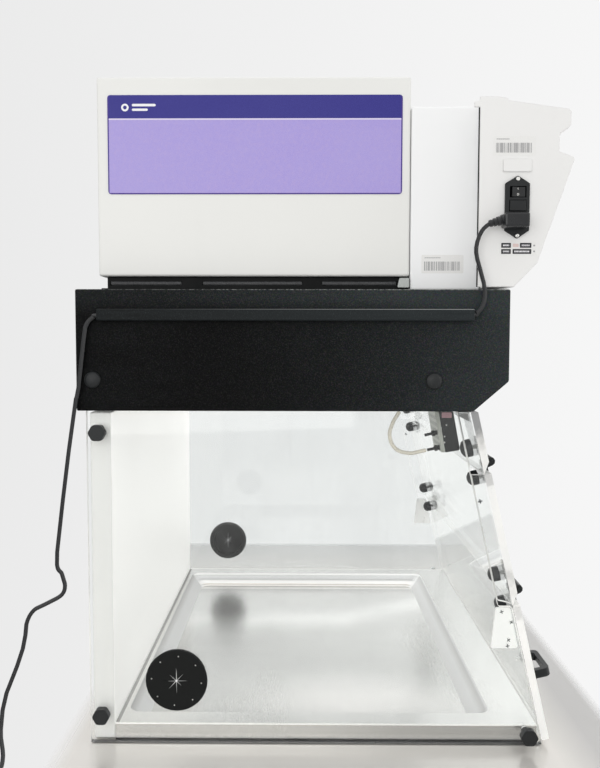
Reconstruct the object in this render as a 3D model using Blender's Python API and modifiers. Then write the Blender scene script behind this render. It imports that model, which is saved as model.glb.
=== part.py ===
"""Ductless benchtop fume hood with an articulated clear front, carbon filter and fan unit.

Frame: origin on the bench under the middle of the tray, +X to the operator's right,
-Y to the operator, +Z up.  Side profiles are drawn as (depth, height): depth is measured
in millimetres forward from the rear edge of the side panels, height from the bench.
"""
import math

import bmesh
import bpy
from mathutils import Matrix, Vector

MM = 0.001

# ---- driving dimensions, millimetres ----
WIDTH = 800.0            # over the clear side panels
ACRYLIC = 8.0            # side panels
GAP = 0.4                # running gap between neighbours
REAR = 327.5             # rear edge of the side panels, ahead of which depth is counted
HALF = WIDTH / 2.0
INNER = HALF - ACRYLIC   # inner face of a side panel

TRAY_REAR, TRAY_FRONT = 33.0, 630.5
TRAY_HALF = INNER - 1.0
TRAY_H = 25.0
TRAY_SHEET = 1.5
TROUGH_REAR, TROUGH_FRONT, TROUGH_HALF = 44.0, 573.0, 355.0
TROUGH_FLOOR = 2.5
TROUGH_DRAFT = 1.1       # run of the trough wall per unit of its height

BACK_FACE = 32.5         # front face of the back panel
BACK_SHEET = 2.0
BACK_TOP = 468.0

FRONT_FOOT = 645.5       # outer face of the front at the bottom
FRONT_FOOT_Z = 10.0
FRONT_SLOPE = 0.231      # depth lost per unit of height
FRONT_THICK = 10.3       # front acrylic, measured along the depth
SEAM_HIGH, SEAM_LOW = 383.0, 200.0
HINGE_HIGH, HINGE_LOW = 395.0, 211.0
HINGE_STANDOFF = 9.2     # hinge axis in front of the outer face
HINGE_X = 345.0
HINGE_LEAF_W = 42.0
KNUCKLE_R = 6.2
PIN_R = 2.4
WING_TOP = (512.3, 470.0)  # rear edge of the side returns at their top
WING_SLOPE = 0.222

CASE_HALF = HALF + 4.0
CASE_REAR, CASE_FRONT = -12.0, 580.0
CASE_Z0, CASE_Z1 = 471.0, 637.5
CHAMFER_D, CHAMFER_Z = 532.0, 512.5
CASE_SHEET = 1.6
SIDE_TOP = 535.0
CAP_POINTS = ((10.6, 514.0), (477.5, 513.0))

FILTER_REAR, FILTER_FRONT = 13.0, 447.0
FILTER_HALF = 370.0
FILTER_Z0, FILTER_Z1 = 657.5, 930.0

CARBON_DEEP = 62.0       # depth of the carbon layer under the outlet grille

FAN_REAR, FAN_FRONT = 448.0, 545.0
FAN_HALF = 370.0
FAN_Z0, FAN_Z1 = 638.3, 890.0

HEAD_HALF = HALF
HEAD_REAR = 546.5
HEAD_END = 3.0

KNOB_R = 11.8
KNOB_POINTS = {"rear_top": (17.4, 441.5), "rear_low": (17.8, 43.6), "front_low": (612.0, 21.2)}

GROMMET = (122.2, 91.4)
GROMMET_R = 43.5
GROMMET_HOLE = 37.0

ROCKER_TILT = 7.0        # degrees either side of level

CORD_R = 3.1

PARTS = "ductless_fume_hood"
CUTTERS = "cutters"


# ---------------------------------------------------------------- helpers
def clear_scene():
    for obj in list(bpy.data.objects):
        bpy.data.objects.remove(obj, do_unlink=True)


def collection(name):
    col = bpy.data.collections.get(name)
    if col is None:
        col = bpy.data.collections.new(name)
        bpy.context.scene.collection.children.link(col)
    return col


def material(name, rgb, roughness, metallic=0.0, transmission=0.0):
    mat = bpy.data.materials.get(name)
    if mat is None:
        mat = bpy.data.materials.new(name)
        mat.use_nodes = True
        bsdf = mat.node_tree.nodes["Principled BSDF"]
        bsdf.inputs["Base Color"].default_value = (*rgb, 1.0)
        bsdf.inputs["Roughness"].default_value = roughness
        bsdf.inputs["Metallic"].default_value = metallic
        bsdf.inputs["Transmission Weight"].default_value = transmission
    return mat


FINISH = {
    "steel": ((0.62, 0.62, 0.60), 0.32, 1.0),
    "white_sheet": ((0.86, 0.87, 0.88), 0.45),
    "acrylic": ((0.93, 0.97, 0.97), 0.05, 0.0, 0.9),
    "black_sheet": ((0.012, 0.012, 0.013), 0.62),
    "black_plastic": ((0.018, 0.020, 0.021), 0.45),
    "black_rubber": ((0.015, 0.015, 0.016), 0.75),
    "nylon": ((0.80, 0.80, 0.78), 0.5),
    "warm_grey_paint": ((0.77, 0.76, 0.73), 0.4),
    "cool_white_paint": ((0.85, 0.87, 0.88), 0.4),
    "alu": ((0.70, 0.71, 0.72), 0.35, 1.0),
    "amber_tube": ((0.80, 0.60, 0.35), 0.3, 0.0, 0.5),
    "board": ((0.35, 0.42, 0.25), 0.5),
    "carbon": ((0.02, 0.02, 0.02), 0.9),
    "foam": ((0.45, 0.46, 0.47), 0.9),
    "label_pale": ((0.52, 0.45, 0.72), 0.5),
    "label_band": ((0.07, 0.05, 0.30), 0.5),
    "light_strip": ((0.70, 0.80, 0.85), 0.3),
    "zinc": ((0.60, 0.61, 0.62), 0.35, 1.0),
}


def finish(obj, key):
    obj.data.materials.clear()
    obj.data.materials.append(material(key, *FINISH[key]))


def smooth(mesh, angle=35.0):
    mesh.shade_smooth()
    mesh.set_sharp_from_angle(angle=math.radians(angle))


def new_object(name, mesh, place=None, cutter=False):
    obj = bpy.data.objects.new(name, mesh)
    collection(CUTTERS if cutter else PARTS).objects.link(obj)
    if place is not None:
        obj.matrix_world = place
    if cutter:
        obj.hide_render = True
        obj.display_type = "WIRE"
    return obj


def at(x, depth, z):
    """World point in metres of a width, depth, height point in millimetres."""
    return Vector((x * MM, (REAR - depth) * MM, z * MM))


def frame_at(origin, col_x, col_y, col_z):
    """Matrix that takes local X, Y, Z to the given world directions."""
    mat = Matrix.Identity(4)
    for i, col in enumerate((col_x, col_y, col_z)):
        for j in range(3):
            mat[j][i] = col[j]
    mat.translation = origin
    return mat


# local X runs forward, local Y up, local Z to the operator's left
SIDE = ((0, -1, 0), (0, 0, 1), (-1, 0, 0))


def side_frame(x):
    return frame_at(at(x, 0, 0), *SIDE)


def box(name, lo, hi, cutter=False, bevel=0.0, segments=2):
    """Box between two (x, depth, z) corners, its edges rounded by a live Bevel."""
    a, b = at(*lo), at(*hi)
    bm = bmesh.new()
    bmesh.ops.create_cube(bm, size=1.0)
    size = Vector([abs(b[i] - a[i]) for i in range(3)])
    bmesh.ops.scale(bm, vec=size, verts=bm.verts)
    mesh = bpy.data.meshes.new(name)
    bm.to_mesh(mesh)
    bm.free()
    obj = new_object(name, mesh, Matrix.Translation((a + b) / 2.0), cutter)
    if bevel:
        add_bevel(obj, bevel, segments)
    return obj


def add_bevel(obj, width, segments=2, angle=40.0):
    mod = obj.modifiers.new("edges", "BEVEL")
    mod.width = width * MM
    mod.segments = segments
    mod.limit_method = "ANGLE"
    mod.angle_limit = math.radians(angle)
    mod.harden_normals = False
    return mod


def cut(obj, tool, operation="DIFFERENCE"):
    mod = obj.modifiers.new("cut_" + tool.name, "BOOLEAN")
    mod.operation = operation
    mod.solver = "EXACT"
    mod.object = tool
    return mod


def rounded(points, radii, segments=4):
    """Polygon with its corners rounded; radii is one number or one per corner."""
    out = []
    count = len(points)
    if not isinstance(radii, (list, tuple)):
        radii = [radii] * count
    for i, point in enumerate(points):
        p = Vector(point)
        radius = radii[i]
        if radius <= 0.0:
            out.append(tuple(p))
            continue
        u = (Vector(points[i - 1]) - p).normalized()
        v = (Vector(points[(i + 1) % count]) - p).normalized()
        half = u.angle(v) / 2.0
        reach = radius / math.tan(half)
        centre = p + (u + v).normalized() * (radius / math.sin(half))
        start, end = p + u * reach, p + v * reach
        a0 = math.atan2(start.y - centre.y, start.x - centre.x)
        turn = math.atan2(end.y - centre.y, end.x - centre.x) - a0
        turn = (turn + math.pi) % (2.0 * math.pi) - math.pi
        for k in range(segments + 1):
            a = a0 + turn * k / segments
            out.append((centre.x + radius * math.cos(a), centre.y + radius * math.sin(a)))
    return out


def circle(cx, cy, radius, steps=20, turn=0.0):
    ring = []
    for k in range(steps):
        a = 2.0 * math.pi * k / steps + turn
        ring.append((cx + radius * math.cos(a), cy + radius * math.sin(a)))
    return ring


def rect(x0, y0, x1, y1):
    return [(x0, y0), (x1, y0), (x1, y1), (x0, y1)]


def curve_to_mesh(name, curve, place, cutter):
    """Mesh object of a curve: evaluated, its caps welded, the curve removed."""
    source = bpy.data.objects.new(name + "_curve", curve)
    bpy.context.scene.collection.objects.link(source)
    source.matrix_world = place
    bpy.context.view_layer.update()
    graph = bpy.context.evaluated_depsgraph_get()
    mesh = bpy.data.meshes.new_from_object(source.evaluated_get(graph))
    mesh.name = name
    bpy.data.objects.remove(source, do_unlink=True)
    bm = bmesh.new()
    bm.from_mesh(mesh)
    bmesh.ops.remove_doubles(bm, verts=bm.verts, dist=0.000005)
    bmesh.ops.recalc_face_normals(bm, faces=bm.faces)
    bm.to_mesh(mesh)
    bm.free()
    mesh.materials.clear()
    return new_object(name, mesh, place, cutter)


def outline(name, loops, thickness, place, cutter=False):
    """Flat outline in the local XY plane, centred on it, loops after the first are holes."""
    curve = bpy.data.curves.new(name, "CURVE")
    curve.dimensions = "2D"
    curve.fill_mode = "BOTH"
    curve.extrude = thickness * MM / 2.0
    for loop in loops:
        spline = curve.splines.new("POLY")
        spline.points.add(len(loop) - 1)
        for point, (u, v) in zip(spline.points, loop):
            point.co = (u * MM, v * MM, 0.0, 1.0)
        spline.use_cyclic_u = True
    return curve_to_mesh(name, curve, place, cutter)


def side_plate(name, loops, x0, x1, cutter=False):
    """Side profile (depth, height) extruded across the width from x0 to x1."""
    place = side_frame((x0 + x1) / 2.0)
    return outline(name, loops, abs(x1 - x0), place, cutter)


def tube(name, points, radius, resolution=2):
    """Round bar or wire through world points given in metres."""
    curve = bpy.data.curves.new(name, "CURVE")
    curve.dimensions = "3D"
    curve.fill_mode = "FULL"
    curve.bevel_depth = radius * MM
    curve.bevel_resolution = resolution
    curve.use_fill_caps = True
    spline = curve.splines.new("POLY")
    spline.points.add(len(points) - 1)
    for point, co in zip(spline.points, points):
        point.co = (*co, 1.0)
    obj = curve_to_mesh(name, curve, Matrix.Identity(4), False)
    smooth(obj.data, 50.0)
    return obj


def turned(name, profile, place, steps=24, cutter=False):
    """Solid of revolution about local Z from (radius, height) points, top to bottom."""
    mesh = bpy.data.meshes.new(name)
    bm = bmesh.new()
    verts = [bm.verts.new((r * MM, 0.0, h * MM)) for r, h in profile]
    for a, b in zip(verts, verts[1:]):
        bm.edges.new((a, b))
    bm.to_mesh(mesh)
    bm.free()
    obj = new_object(name, mesh, place, cutter)
    mod = obj.modifiers.new("turn", "SCREW")
    mod.axis = "Z"
    mod.angle = 2.0 * math.pi
    mod.steps = steps
    mod.render_steps = steps
    mod.use_merge_vertices = True
    mod.merge_threshold = 0.00001
    mod.use_smooth_shade = True
    return obj


def rod(name, start, end, radius, steps=16, cutter=False):
    """Plain cylinder between two (x, depth, z) points."""
    a, b = at(*start), at(*end)
    axis = b - a
    bm = bmesh.new()
    bmesh.ops.create_cone(bm, cap_ends=True, segments=steps, radius1=radius * MM,
                          radius2=radius * MM, depth=axis.length)
    mesh = bpy.data.meshes.new(name)
    bm.to_mesh(mesh)
    bm.free()
    place = axis.to_track_quat("Z", "Y").to_matrix().to_4x4()
    place.translation = (a + b) / 2.0
    return new_object(name, mesh, place, cutter)


def bake(obj):
    """Apply an object's modifiers into its mesh."""
    bpy.context.view_layer.update()
    graph = bpy.context.evaluated_depsgraph_get()
    mesh = bpy.data.meshes.new_from_object(obj.evaluated_get(graph))
    obj.modifiers.clear()
    obj.data = mesh
    return obj


def merge(name, pieces, origin=None, cutter=False):
    """One object holding several separate solids, its origin at a world point."""
    origin = Vector((0.0, 0.0, 0.0)) if origin is None else origin
    bm = bmesh.new()
    for piece in pieces:
        bake(piece)
        copy = piece.data.copy()
        copy.transform(Matrix.Translation(-origin) @ piece.matrix_world)
        bm.from_mesh(copy)
        bpy.data.meshes.remove(copy)
        bpy.data.objects.remove(piece, do_unlink=True)
    mesh = bpy.data.meshes.new(name)
    bm.to_mesh(mesh)
    bm.free()
    mesh.materials.clear()
    return new_object(name, mesh, Matrix.Translation(origin), cutter)


def set_origin(obj, point):
    """Put the object's origin at a world point without moving its shape."""
    bpy.context.view_layer.update()
    local = obj.matrix_world.inverted() @ point
    obj.data.transform(Matrix.Translation(-local))
    place = obj.matrix_world.copy()
    place.translation = point
    obj.matrix_world = place


def ride(child, parent):
    """Parent without moving."""
    bpy.context.view_layer.update()
    child.parent = parent
    child.matrix_parent_inverse = parent.matrix_world.inverted()


def mirrored(name, source, key):
    """Left-right mirror image of a piece, as its own object."""
    bake(source)
    bpy.context.view_layer.update()
    mesh = source.data.copy()
    mesh.transform(source.matrix_world)
    mesh.transform(Matrix.Scale(-1.0, 4, (1.0, 0.0, 0.0)))
    mesh.flip_normals()
    obj = new_object(name, mesh)
    centre = source.matrix_world.translation.copy()
    centre.x = -centre.x
    set_origin(obj, centre)
    finish(obj, key)
    return obj


def front_outer(z):
    """Depth of the front's outer face at a height."""
    return FRONT_FOOT - FRONT_SLOPE * (z - FRONT_FOOT_Z)


def front_inner(z):
    return front_outer(z) - FRONT_THICK


def wing_rear(z):
    """Depth of the rear edge of the front's side returns at a height."""
    return WING_TOP[0] + (WING_TOP[1] - z) * WING_SLOPE


FRONT_ANGLE = math.atan(FRONT_SLOPE)
NORMAL = (math.cos(FRONT_ANGLE), math.sin(FRONT_ANGLE))   # outward, as (depth, height)
ALONG = (-math.sin(FRONT_ANGLE), math.cos(FRONT_ANGLE))   # up the slope


def on_front(z_axis, n, s):
    """(depth, height) of a point n in front of the outer face and s up from a hinge height."""
    d0, z0 = front_outer(z_axis), z_axis
    return d0 + NORMAL[0] * n + ALONG[0] * s, z0 + NORMAL[1] * n + ALONG[1] * s


def normal_frame(x, z_axis, n, s):
    """Local Z pointing into the hood, square to the sloping front."""
    d, z = on_front(z_axis, n, s)
    inward = (0.0, NORMAL[0], -NORMAL[1])
    across = (1.0, 0.0, 0.0)
    third = Vector(inward).cross(Vector(across))
    return frame_at(at(x, d, z), across, tuple(third), inward)


# ---------------------------------------------------------------- enclosure
def frustum(name, lo, hi, z0, z1, grow, radius):
    """Tapered block: lo and hi are (x, depth) corners at z0, grow widens it at z1."""
    bm = bmesh.new()
    bmesh.ops.create_cube(bm, size=1.0)
    a, b = at(lo[0], lo[1], z0), at(hi[0], hi[1], z1)
    size = Vector([abs(b[i] - a[i]) for i in range(3)])
    for vert in bm.verts:
        extra = grow * MM if vert.co.z > 0.0 else 0.0
        for i in (0, 1):
            vert.co[i] = math.copysign(size[i] / 2.0 + extra, vert.co[i])
        vert.co.z *= size.z
    upright = [e for e in bm.edges if abs(e.verts[0].co.z - e.verts[1].co.z) > 0.5 * size.z]
    bmesh.ops.bevel(bm, geom=upright, offset=radius * MM, offset_type="OFFSET", segments=5,
                    profile=0.5, affect="EDGES")
    mesh = bpy.data.meshes.new(name)
    bm.to_mesh(mesh)
    bm.free()
    return new_object(name, mesh, Matrix.Translation((a + b) / 2.0), cutter=True)


def build_tray():
    tray = box("tray", (-TRAY_HALF, TRAY_REAR, 0.0), (TRAY_HALF, TRAY_FRONT, TRAY_H))
    deep = TRAY_H - TROUGH_FLOOR
    run = deep * TROUGH_DRAFT
    trough = frustum("tray_trough_tool", (-TROUGH_HALF + run, TROUGH_REAR + run),
                     (TROUGH_HALF - run, TROUGH_FRONT - run), TROUGH_FLOOR,
                     TRAY_H + 2.0, (deep + 2.0) * TROUGH_DRAFT, 14.0)
    under = box("tray_under_tool",
                (-TRAY_HALF + TRAY_SHEET, TRAY_REAR + TRAY_SHEET, -6.0),
                (TRAY_HALF - TRAY_SHEET, TRAY_FRONT - TRAY_SHEET, TRAY_H - TRAY_SHEET), cutter=True)
    wall = TRAY_SHEET * 1.6
    low = 8.0
    keep = frustum("tray_floor_tool",
                   (-TROUGH_HALF + run - wall + low, TROUGH_REAR + run - wall + low),
                   (TROUGH_HALF - run + wall - low, TROUGH_FRONT - run + wall - low),
                   -low, TRAY_H + 4.0, (TRAY_H + 4.0 + low) * TROUGH_DRAFT, 15.0)
    cut(under, keep)
    cut(tray, under)
    cut(tray, trough)
    for side in (-1, 1):
        d, z = KNOB_POINTS["front_low"]
        hole = rod("tray_stud_tool_%s" % ("left" if side < 0 else "right"),
                   (side * (TRAY_HALF - 8.0), d, z), (side * (TRAY_HALF + 8.0), d, z),
                   3.6, 10, cutter=True)
        cut(tray, hole)
    bake(tray)
    finish(tray, "steel")
    smooth(tray.data, 30.0)


def build_back():
    back = box("back_panel", (-TRAY_HALF, 3.0, 3.0), (TRAY_HALF, BACK_FACE, BACK_TOP), bevel=1.5)
    inside = box("back_panel_tool", (-TRAY_HALF + BACK_SHEET, -5.0, 3.0 + BACK_SHEET),
                 (TRAY_HALF - BACK_SHEET, BACK_FACE - BACK_SHEET, BACK_TOP - BACK_SHEET), cutter=True)
    cut(back, inside)
    for key in ("rear_top", "rear_low"):
        d, z = KNOB_POINTS[key]
        cut(back, rod("back_stud_tool_" + key, (-TRAY_HALF - 10.0, d, z), (TRAY_HALF + 10.0, d, z),
                      3.6, 10, cutter=True))
    bake(back)
    finish(back, "white_sheet")


def build_side_panels():
    step_z = SEAM_LOW - 2.5
    low_front = front_inner(step_z) - 1.2
    foot_front = front_inner(1.0) - 1.2
    shape = [(0.0, 1.0), (foot_front, 1.0), (low_front, step_z),
             (wing_rear(step_z) - 1.2, step_z), (wing_rear(470.0) - 1.2, 470.0),
             (500.0, 478.0), (500.0, SIDE_TOP), (0.0, SIDE_TOP)]
    outer = rounded(shape, [3.0, 3.0, 4.0, 4.0, 0.0, 0.0, 6.0, 6.0], 3)
    loops = [outer, circle(*GROMMET, GROMMET_HOLE, 32, math.pi / 32.0)]
    for d, z in KNOB_POINTS.values():
        loops.append(circle(d, z, 3.6, 10))
    for d, z in CAP_POINTS:
        loops.append(circle(d, z, 2.7, 8))
    left = side_plate("side_panel_left", loops, -HALF, -INNER)
    finish(left, "acrylic")
    mirrored("side_panel_right", left, "acrylic")


def build_grommets():
    # local Z points out of the hood
    place = frame_at(at(-HALF, *GROMMET), (0, -1, 0), (0, 0, 1), (-1, 0, 0))
    profile = [(0.0, 2.6), (42.4, 2.6), (GROMMET_R, 1.5), (GROMMET_R, GAP),
               (GROMMET_HOLE - 0.6, GAP), (GROMMET_HOLE - 0.6, -ACRYLIC - GAP),
               (41.0, -ACRYLIC - GAP), (41.0, -ACRYLIC - 2.6), (33.5, -ACRYLIC - 2.6),
               (31.5, -0.8), (0.0, -0.8)]
    left = turned("grommet_left", profile, place, 32)
    star = []
    for k in range(8):
        a = math.pi * k / 4.0
        reach = 19.0 if k % 2 == 0 else 14.0
        for side in (-1, 1):
            b = a + side * 0.2 / reach
            star.append((reach * math.cos(b), reach * math.sin(b)))
        a += math.pi / 8.0
        star.append((1.7 * math.cos(a), 1.7 * math.sin(a)))
    cut(left, outline("grommet_slit_tool", [star], 12.0, place, cutter=True))
    bake(left)
    finish(left, "black_rubber")
    smooth(left.data)
    mirrored("grommet_right", left, "black_rubber")


def build_front():
    def panel(name, plate, wing):
        solid = side_plate(name, [rounded(plate + wing, 0.0)], -HALF, HALF)
        if wing:
            lo = min(z for _, z in plate + wing) - 5.0
            hi = max(z for _, z in plate + wing) + 5.0
            hollow = [(front_inner(lo), lo), (front_inner(hi), hi), (440.0, hi), (440.0, lo)]
            cut(solid, side_plate(name + "_tool", [hollow], -INNER, INNER, cutter=True))
        return solid

    top = SEAM_HIGH + 1.5
    # outer face down, bevel back to the inner face, then the return's lower and rear edge
    upper = panel("front_panel_upper",
                  [(front_outer(470.0), 470.0),
                   (front_outer(top + 17.0), top + 17.0), (front_inner(top) + 0.4, top)],
                  [(wing_rear(top + 9.0) + 13.0, top + 5.0), (wing_rear(top + 9.0), top + 9.0),
                   (wing_rear(470.0), 470.0)])
    low = SEAM_LOW + 1.0
    middle = panel("flap_middle",
                   [(front_inner(SEAM_HIGH), SEAM_HIGH), (front_outer(SEAM_HIGH + 2.3), SEAM_HIGH + 2.3),
                    (front_outer(low + 17.0), low + 17.0), (front_inner(low) + 0.4, low)],
                   [(wing_rear(low + 5.0) + 13.0, low + 3.0), (wing_rear(low + 6.0), low + 6.0),
                    (wing_rear(SEAM_HIGH), SEAM_HIGH)])
    under = SEAM_LOW - 0.5
    lower = panel("flap_lower",
                  [(front_inner(under), under), (front_outer(under + 2.3), under + 2.3),
                   (front_outer(FRONT_FOOT_Z), FRONT_FOOT_Z),
                   (front_inner(FRONT_FOOT_Z - 2.3), FRONT_FOOT_Z - 2.3)], [])
    return upper, middle, lower


def hinge_bolt(name, x, z_axis, s, radius, height):
    """Domed bolt: dome inside the hood, shank through the panel, flat head on the leaf."""
    thick = FRONT_THICK * NORMAL[0]
    profile = [(0.0, thick + 0.3 + height)]
    for k in range(1, 4):
        a = math.radians(90.0 - 27.0 * k)
        profile.append((radius * math.cos(a), thick + 0.3 + height * (0.45 + 0.55 * math.sin(a))))
    profile += [(radius, thick + 0.3), (2.4, thick + 0.3), (2.4, -2.0), (4.6, -2.0), (4.2, -5.4),
                (0.0, -5.4)]
    return turned(name, profile, normal_frame(x, z_axis, 0.0, s), 14)


def hinge_leaf(name, z_axis, up, gaps, radius):
    """Leaf on the front's outer face with its knuckles; up is +1 for the leaf above the axis."""
    n0, n1 = 0.3, 3.1
    # (normal, along) section: plate, web out to the knuckle, round it, back to the plate
    section = [(n0, 34.0), (n1, 34.0), (n1, 7.6)]
    for k in range(8):
        a = math.radians(75.0 - 38.6 * k)
        section.append((HINGE_STANDOFF + KNUCKLE_R * math.cos(a), KNUCKLE_R * math.sin(a)))
    section.append((n0, 2.5))
    loop = [on_front(z_axis, n, up * s) for n, s in section]
    bore = [on_front(z_axis, n, s) for n, s in circle(HINGE_STANDOFF, 0.0, PIN_R + 0.45, 10)]
    half = HINGE_LEAF_W / 2.0
    plate = side_plate(name, [loop, bore], HINGE_X - half, HINGE_X + half)
    for i, (x0, x1) in enumerate(gaps):
        area = [(-2.0, 8.5), (24.0, 8.5), (24.0, -12.0), (-2.0, -12.0)]
        cut(plate, side_plate("%s_gap_tool_%d" % (name, i),
                              [[on_front(z_axis, n, up * s) for n, s in area]],
                              HINGE_X + x0, HINGE_X + x1, cutter=True))
    bolt = bake(hinge_bolt(name + "_bolt", HINGE_X, z_axis, up * 22.0, radius, 16.0))
    cut(plate, bolt, "UNION")
    bake(plate)
    bpy.data.objects.remove(bolt, do_unlink=True)
    finish(plate, "black_plastic")
    smooth(plate.data)
    return plate


def hinge_pin(name, z_axis):
    half = HINGE_LEAF_W / 2.0
    d, z = on_front(z_axis, HINGE_STANDOFF, 0.0)
    pin = turned(name, [(0.0, half + 2.2), (3.4, half + 1.8), (3.4, half + 0.5),
                        (PIN_R, half + 0.5), (PIN_R, -half - 1.0), (0.0, -half - 1.0)],
                 frame_at(at(HINGE_X, d, z), (0, 0, 1), (0, 1, 0), (-1, 0, 0)), 12)
    bake(pin)
    finish(pin, "zinc")
    smooth(pin.data)
    return pin


def build_hinges(upper, middle, lower):
    """Four butt hinges; returns the pieces by the panel that carries them, and both axes."""
    half = HINGE_LEAF_W / 2.0
    centre_gap = ((-8.4, 8.4),)
    outer_gap = ((-half - 1.0, -8.0), (8.0, half + 1.0))
    carried = {"upper": [], "middle": [], "lower": []}
    rows = (("hinge_high_%s_upper_leaf", HINGE_HIGH, 1, outer_gap, 13.0, "upper"),
            ("hinge_high_%s_lower_leaf", HINGE_HIGH, -1, centre_gap, 10.8, "middle"),
            ("hinge_low_%s_upper_leaf", HINGE_LOW, 1, outer_gap, 10.8, "middle"),
            ("hinge_low_%s_lower_leaf", HINGE_LOW, -1, centre_gap, 10.8, "lower"))
    for pattern, z_axis, up, gaps, radius, owner in rows:
        right = hinge_leaf(pattern % "right", z_axis, up, gaps, radius)
        carried[owner] += [right, mirrored(pattern % "left", right, "black_plastic")]
    for pattern, z_axis, owner in (("hinge_high_%s_pin", HINGE_HIGH, "upper"),
                                   ("hinge_low_%s_pin", HINGE_LOW, "middle")):
        right = hinge_pin(pattern % "right", z_axis)
        carried[owner] += [right, mirrored(pattern % "left", right, "zinc")]
    for panel, spots in ((upper, ((HINGE_HIGH, 22.0),)),
                         (middle, ((HINGE_HIGH, -22.0), (HINGE_LOW, 22.0))),
                         (lower, ((HINGE_LOW, -22.0),))):
        holes = []
        for side in (-1, 1):
            for i, (z_axis, s) in enumerate(spots):
                holes.append(turned("hole_%d_%d" % (side, i),
                                    [(0.0, 20.0), (3.0, 20.0), (3.0, -20.0), (0.0, -20.0)],
                                    normal_frame(side * HINGE_X, z_axis, 0.0, s), 10, cutter=True))
        cut(panel, merge(panel.name + "_hole_tool", holes, cutter=True))
    axis_high = at(0.0, *on_front(HINGE_HIGH, HINGE_STANDOFF, 0.0))
    axis_low = at(0.0, *on_front(HINGE_LOW, HINGE_STANDOFF, 0.0))
    return carried, axis_high, axis_low


HANDLE_X0, HANDLE_X1 = -376.0, -306.0
HANDLE_Z = 90.5


def build_handle(lower):
    """Bridge handle across the lower flap near its left end; its studs end blind in the sheet."""
    d, z = on_front(HANDLE_Z, 0.3, 0.0)
    reach = 27.0
    span = HANDLE_X1 - HANDLE_X0
    outer = rounded([(0.0, 0.0), (span, 0.0), (span, reach), (0.0, reach)], [0.0, 0.0, 9.0, 9.0], 4)
    inner = rounded([(9.5, -1.0), (span - 9.5, -1.0), (span - 9.5, 20.0), (9.5, 20.0)],
                    [0.0, 0.0, 5.0, 5.0], 3)
    outward = Vector((0.0, -NORMAL[0], NORMAL[1]))
    along = Vector((1.0, 0.0, 0.0))
    place = frame_at(at(HANDLE_X0, d, z), along, outward, along.cross(outward))
    handle = outline("handle", [outer], 12.0, place)
    cut(handle, outline("handle_tool", [inner], 20.0, place, cutter=True))
    bake(handle)
    add_bevel(handle, 1.2, 1, 60.0)
    bake(handle)
    studs, holes = [], []
    for i, x in enumerate((HANDLE_X0 + 4.9, HANDLE_X1 - 4.9)):
        spot = normal_frame(x, HANDLE_Z, 0.0, 0.0)
        studs.append(turned("handle_stud_%d" % i,
                            [(0.0, 5.2), (1.7, 5.2), (1.7, -5.0), (0.0, -5.0)], spot, 10))
        holes.append(turned("handle_hole_%d" % i,
                            [(0.0, 5.8), (2.1, 5.8), (2.1, -20.0), (0.0, -20.0)], spot, 10,
                            cutter=True))
    studs = merge("handle_studs", studs)
    cut(handle, studs, "UNION")
    bake(handle)
    bpy.data.objects.remove(studs, do_unlink=True)
    cut(lower, merge("flap_lower_handle_tool", holes, cutter=True))
    finish(handle, "black_plastic")
    smooth(handle.data)
    return handle


def build_knob(name, side, depth, z, collar):
    """Lobed thumb knob with its threaded stud; local Z points out of the hood."""
    place = frame_at(at(side * HALF, depth, z), (0, -1, 0), (0, 0, -side), (side, 0, 0))
    lobes = []
    for k in range(24):
        a = 2.0 * math.pi * k / 24
        r = KNOB_R - 0.55 + 0.55 * math.cos(6.0 * a)
        lobes.append((r * math.cos(a), r * math.sin(a)))
    face = place @ Matrix.Translation((0.0, 0.0, (collar + 6.0) * MM))
    head = outline(name, [lobes], 11.0, face)
    add_bevel(head, 1.3, 1, 50.0)
    bake(head)
    stem = turned(name + "_stem", [(0.0, collar + 6.0), (6.2, collar + 6.0), (6.2, 0.5), (2.9, 0.5),
                                   (2.9, -12.6), (2.3, -13.4), (0.0, -13.4)], place, 12)
    cut(head, bake(stem), "UNION")
    bake(head)
    bpy.data.objects.remove(stem, do_unlink=True)
    set_origin(head, at(side * HALF, depth, z))
    finish(head, "black_plastic")
    smooth(head.data, 40.0)
    return head


def build_nut(name, side, depth, z):
    """Low hexagon nut on its stud, used at the far front corner in place of a knob."""
    place = frame_at(at(side * HALF, depth, z), (0, -1, 0), (0, 0, -side), (side, 0, 0))
    corners = [(5.8 * math.cos(math.pi * k / 3.0), 5.8 * math.sin(math.pi * k / 3.0)) for k in range(6)]
    nut = outline(name, [corners], 5.0, place @ Matrix.Translation((0.0, 0.0, 3.0 * MM)))
    stud = turned(name + "_stud", [(0.0, 7.4), (2.3, 7.4), (2.9, 6.8), (2.9, -12.6), (2.3, -13.4),
                                   (0.0, -13.4)], place, 12)
    cut(nut, bake(stud), "UNION")
    bake(nut)
    bpy.data.objects.remove(stud, do_unlink=True)
    finish(nut, "zinc")
    smooth(nut.data, 30.0)


def build_knobs():
    for side, hand in ((-1, "left"), (1, "right")):
        for key, (d, z) in KNOB_POINTS.items():
            if key == "front_low" and side > 0:
                build_nut("nut_front_low_right", side, d, z)
                continue
            collar = 12.0 if key == "front_low" else 3.0
            build_knob("knob_%s_%s" % (key, hand), side, d, z, collar)


def build_catches():
    """Pale plates on the inner face of each side panel, behind the lower flap's top edge."""
    shape = rounded([(569.5, 194.5), (590.0, 194.5), (602.0, 136.0), (563.5, 136.0)], 3.0, 3)
    holes = [circle(578.0, 188.0, 1.5, 10), circle(590.0, 173.6, 1.5, 10),
             circle(587.5, 150.0, 1.5, 10), circle(586.5, 141.5, 1.5, 10)]
    left = side_plate("catch_plate_left", [shape] + holes, -INNER + 0.3, -INNER + 3.3)
    finish(left, "white_sheet")
    mirrored("catch_plate_right", left, "white_sheet")


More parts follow.
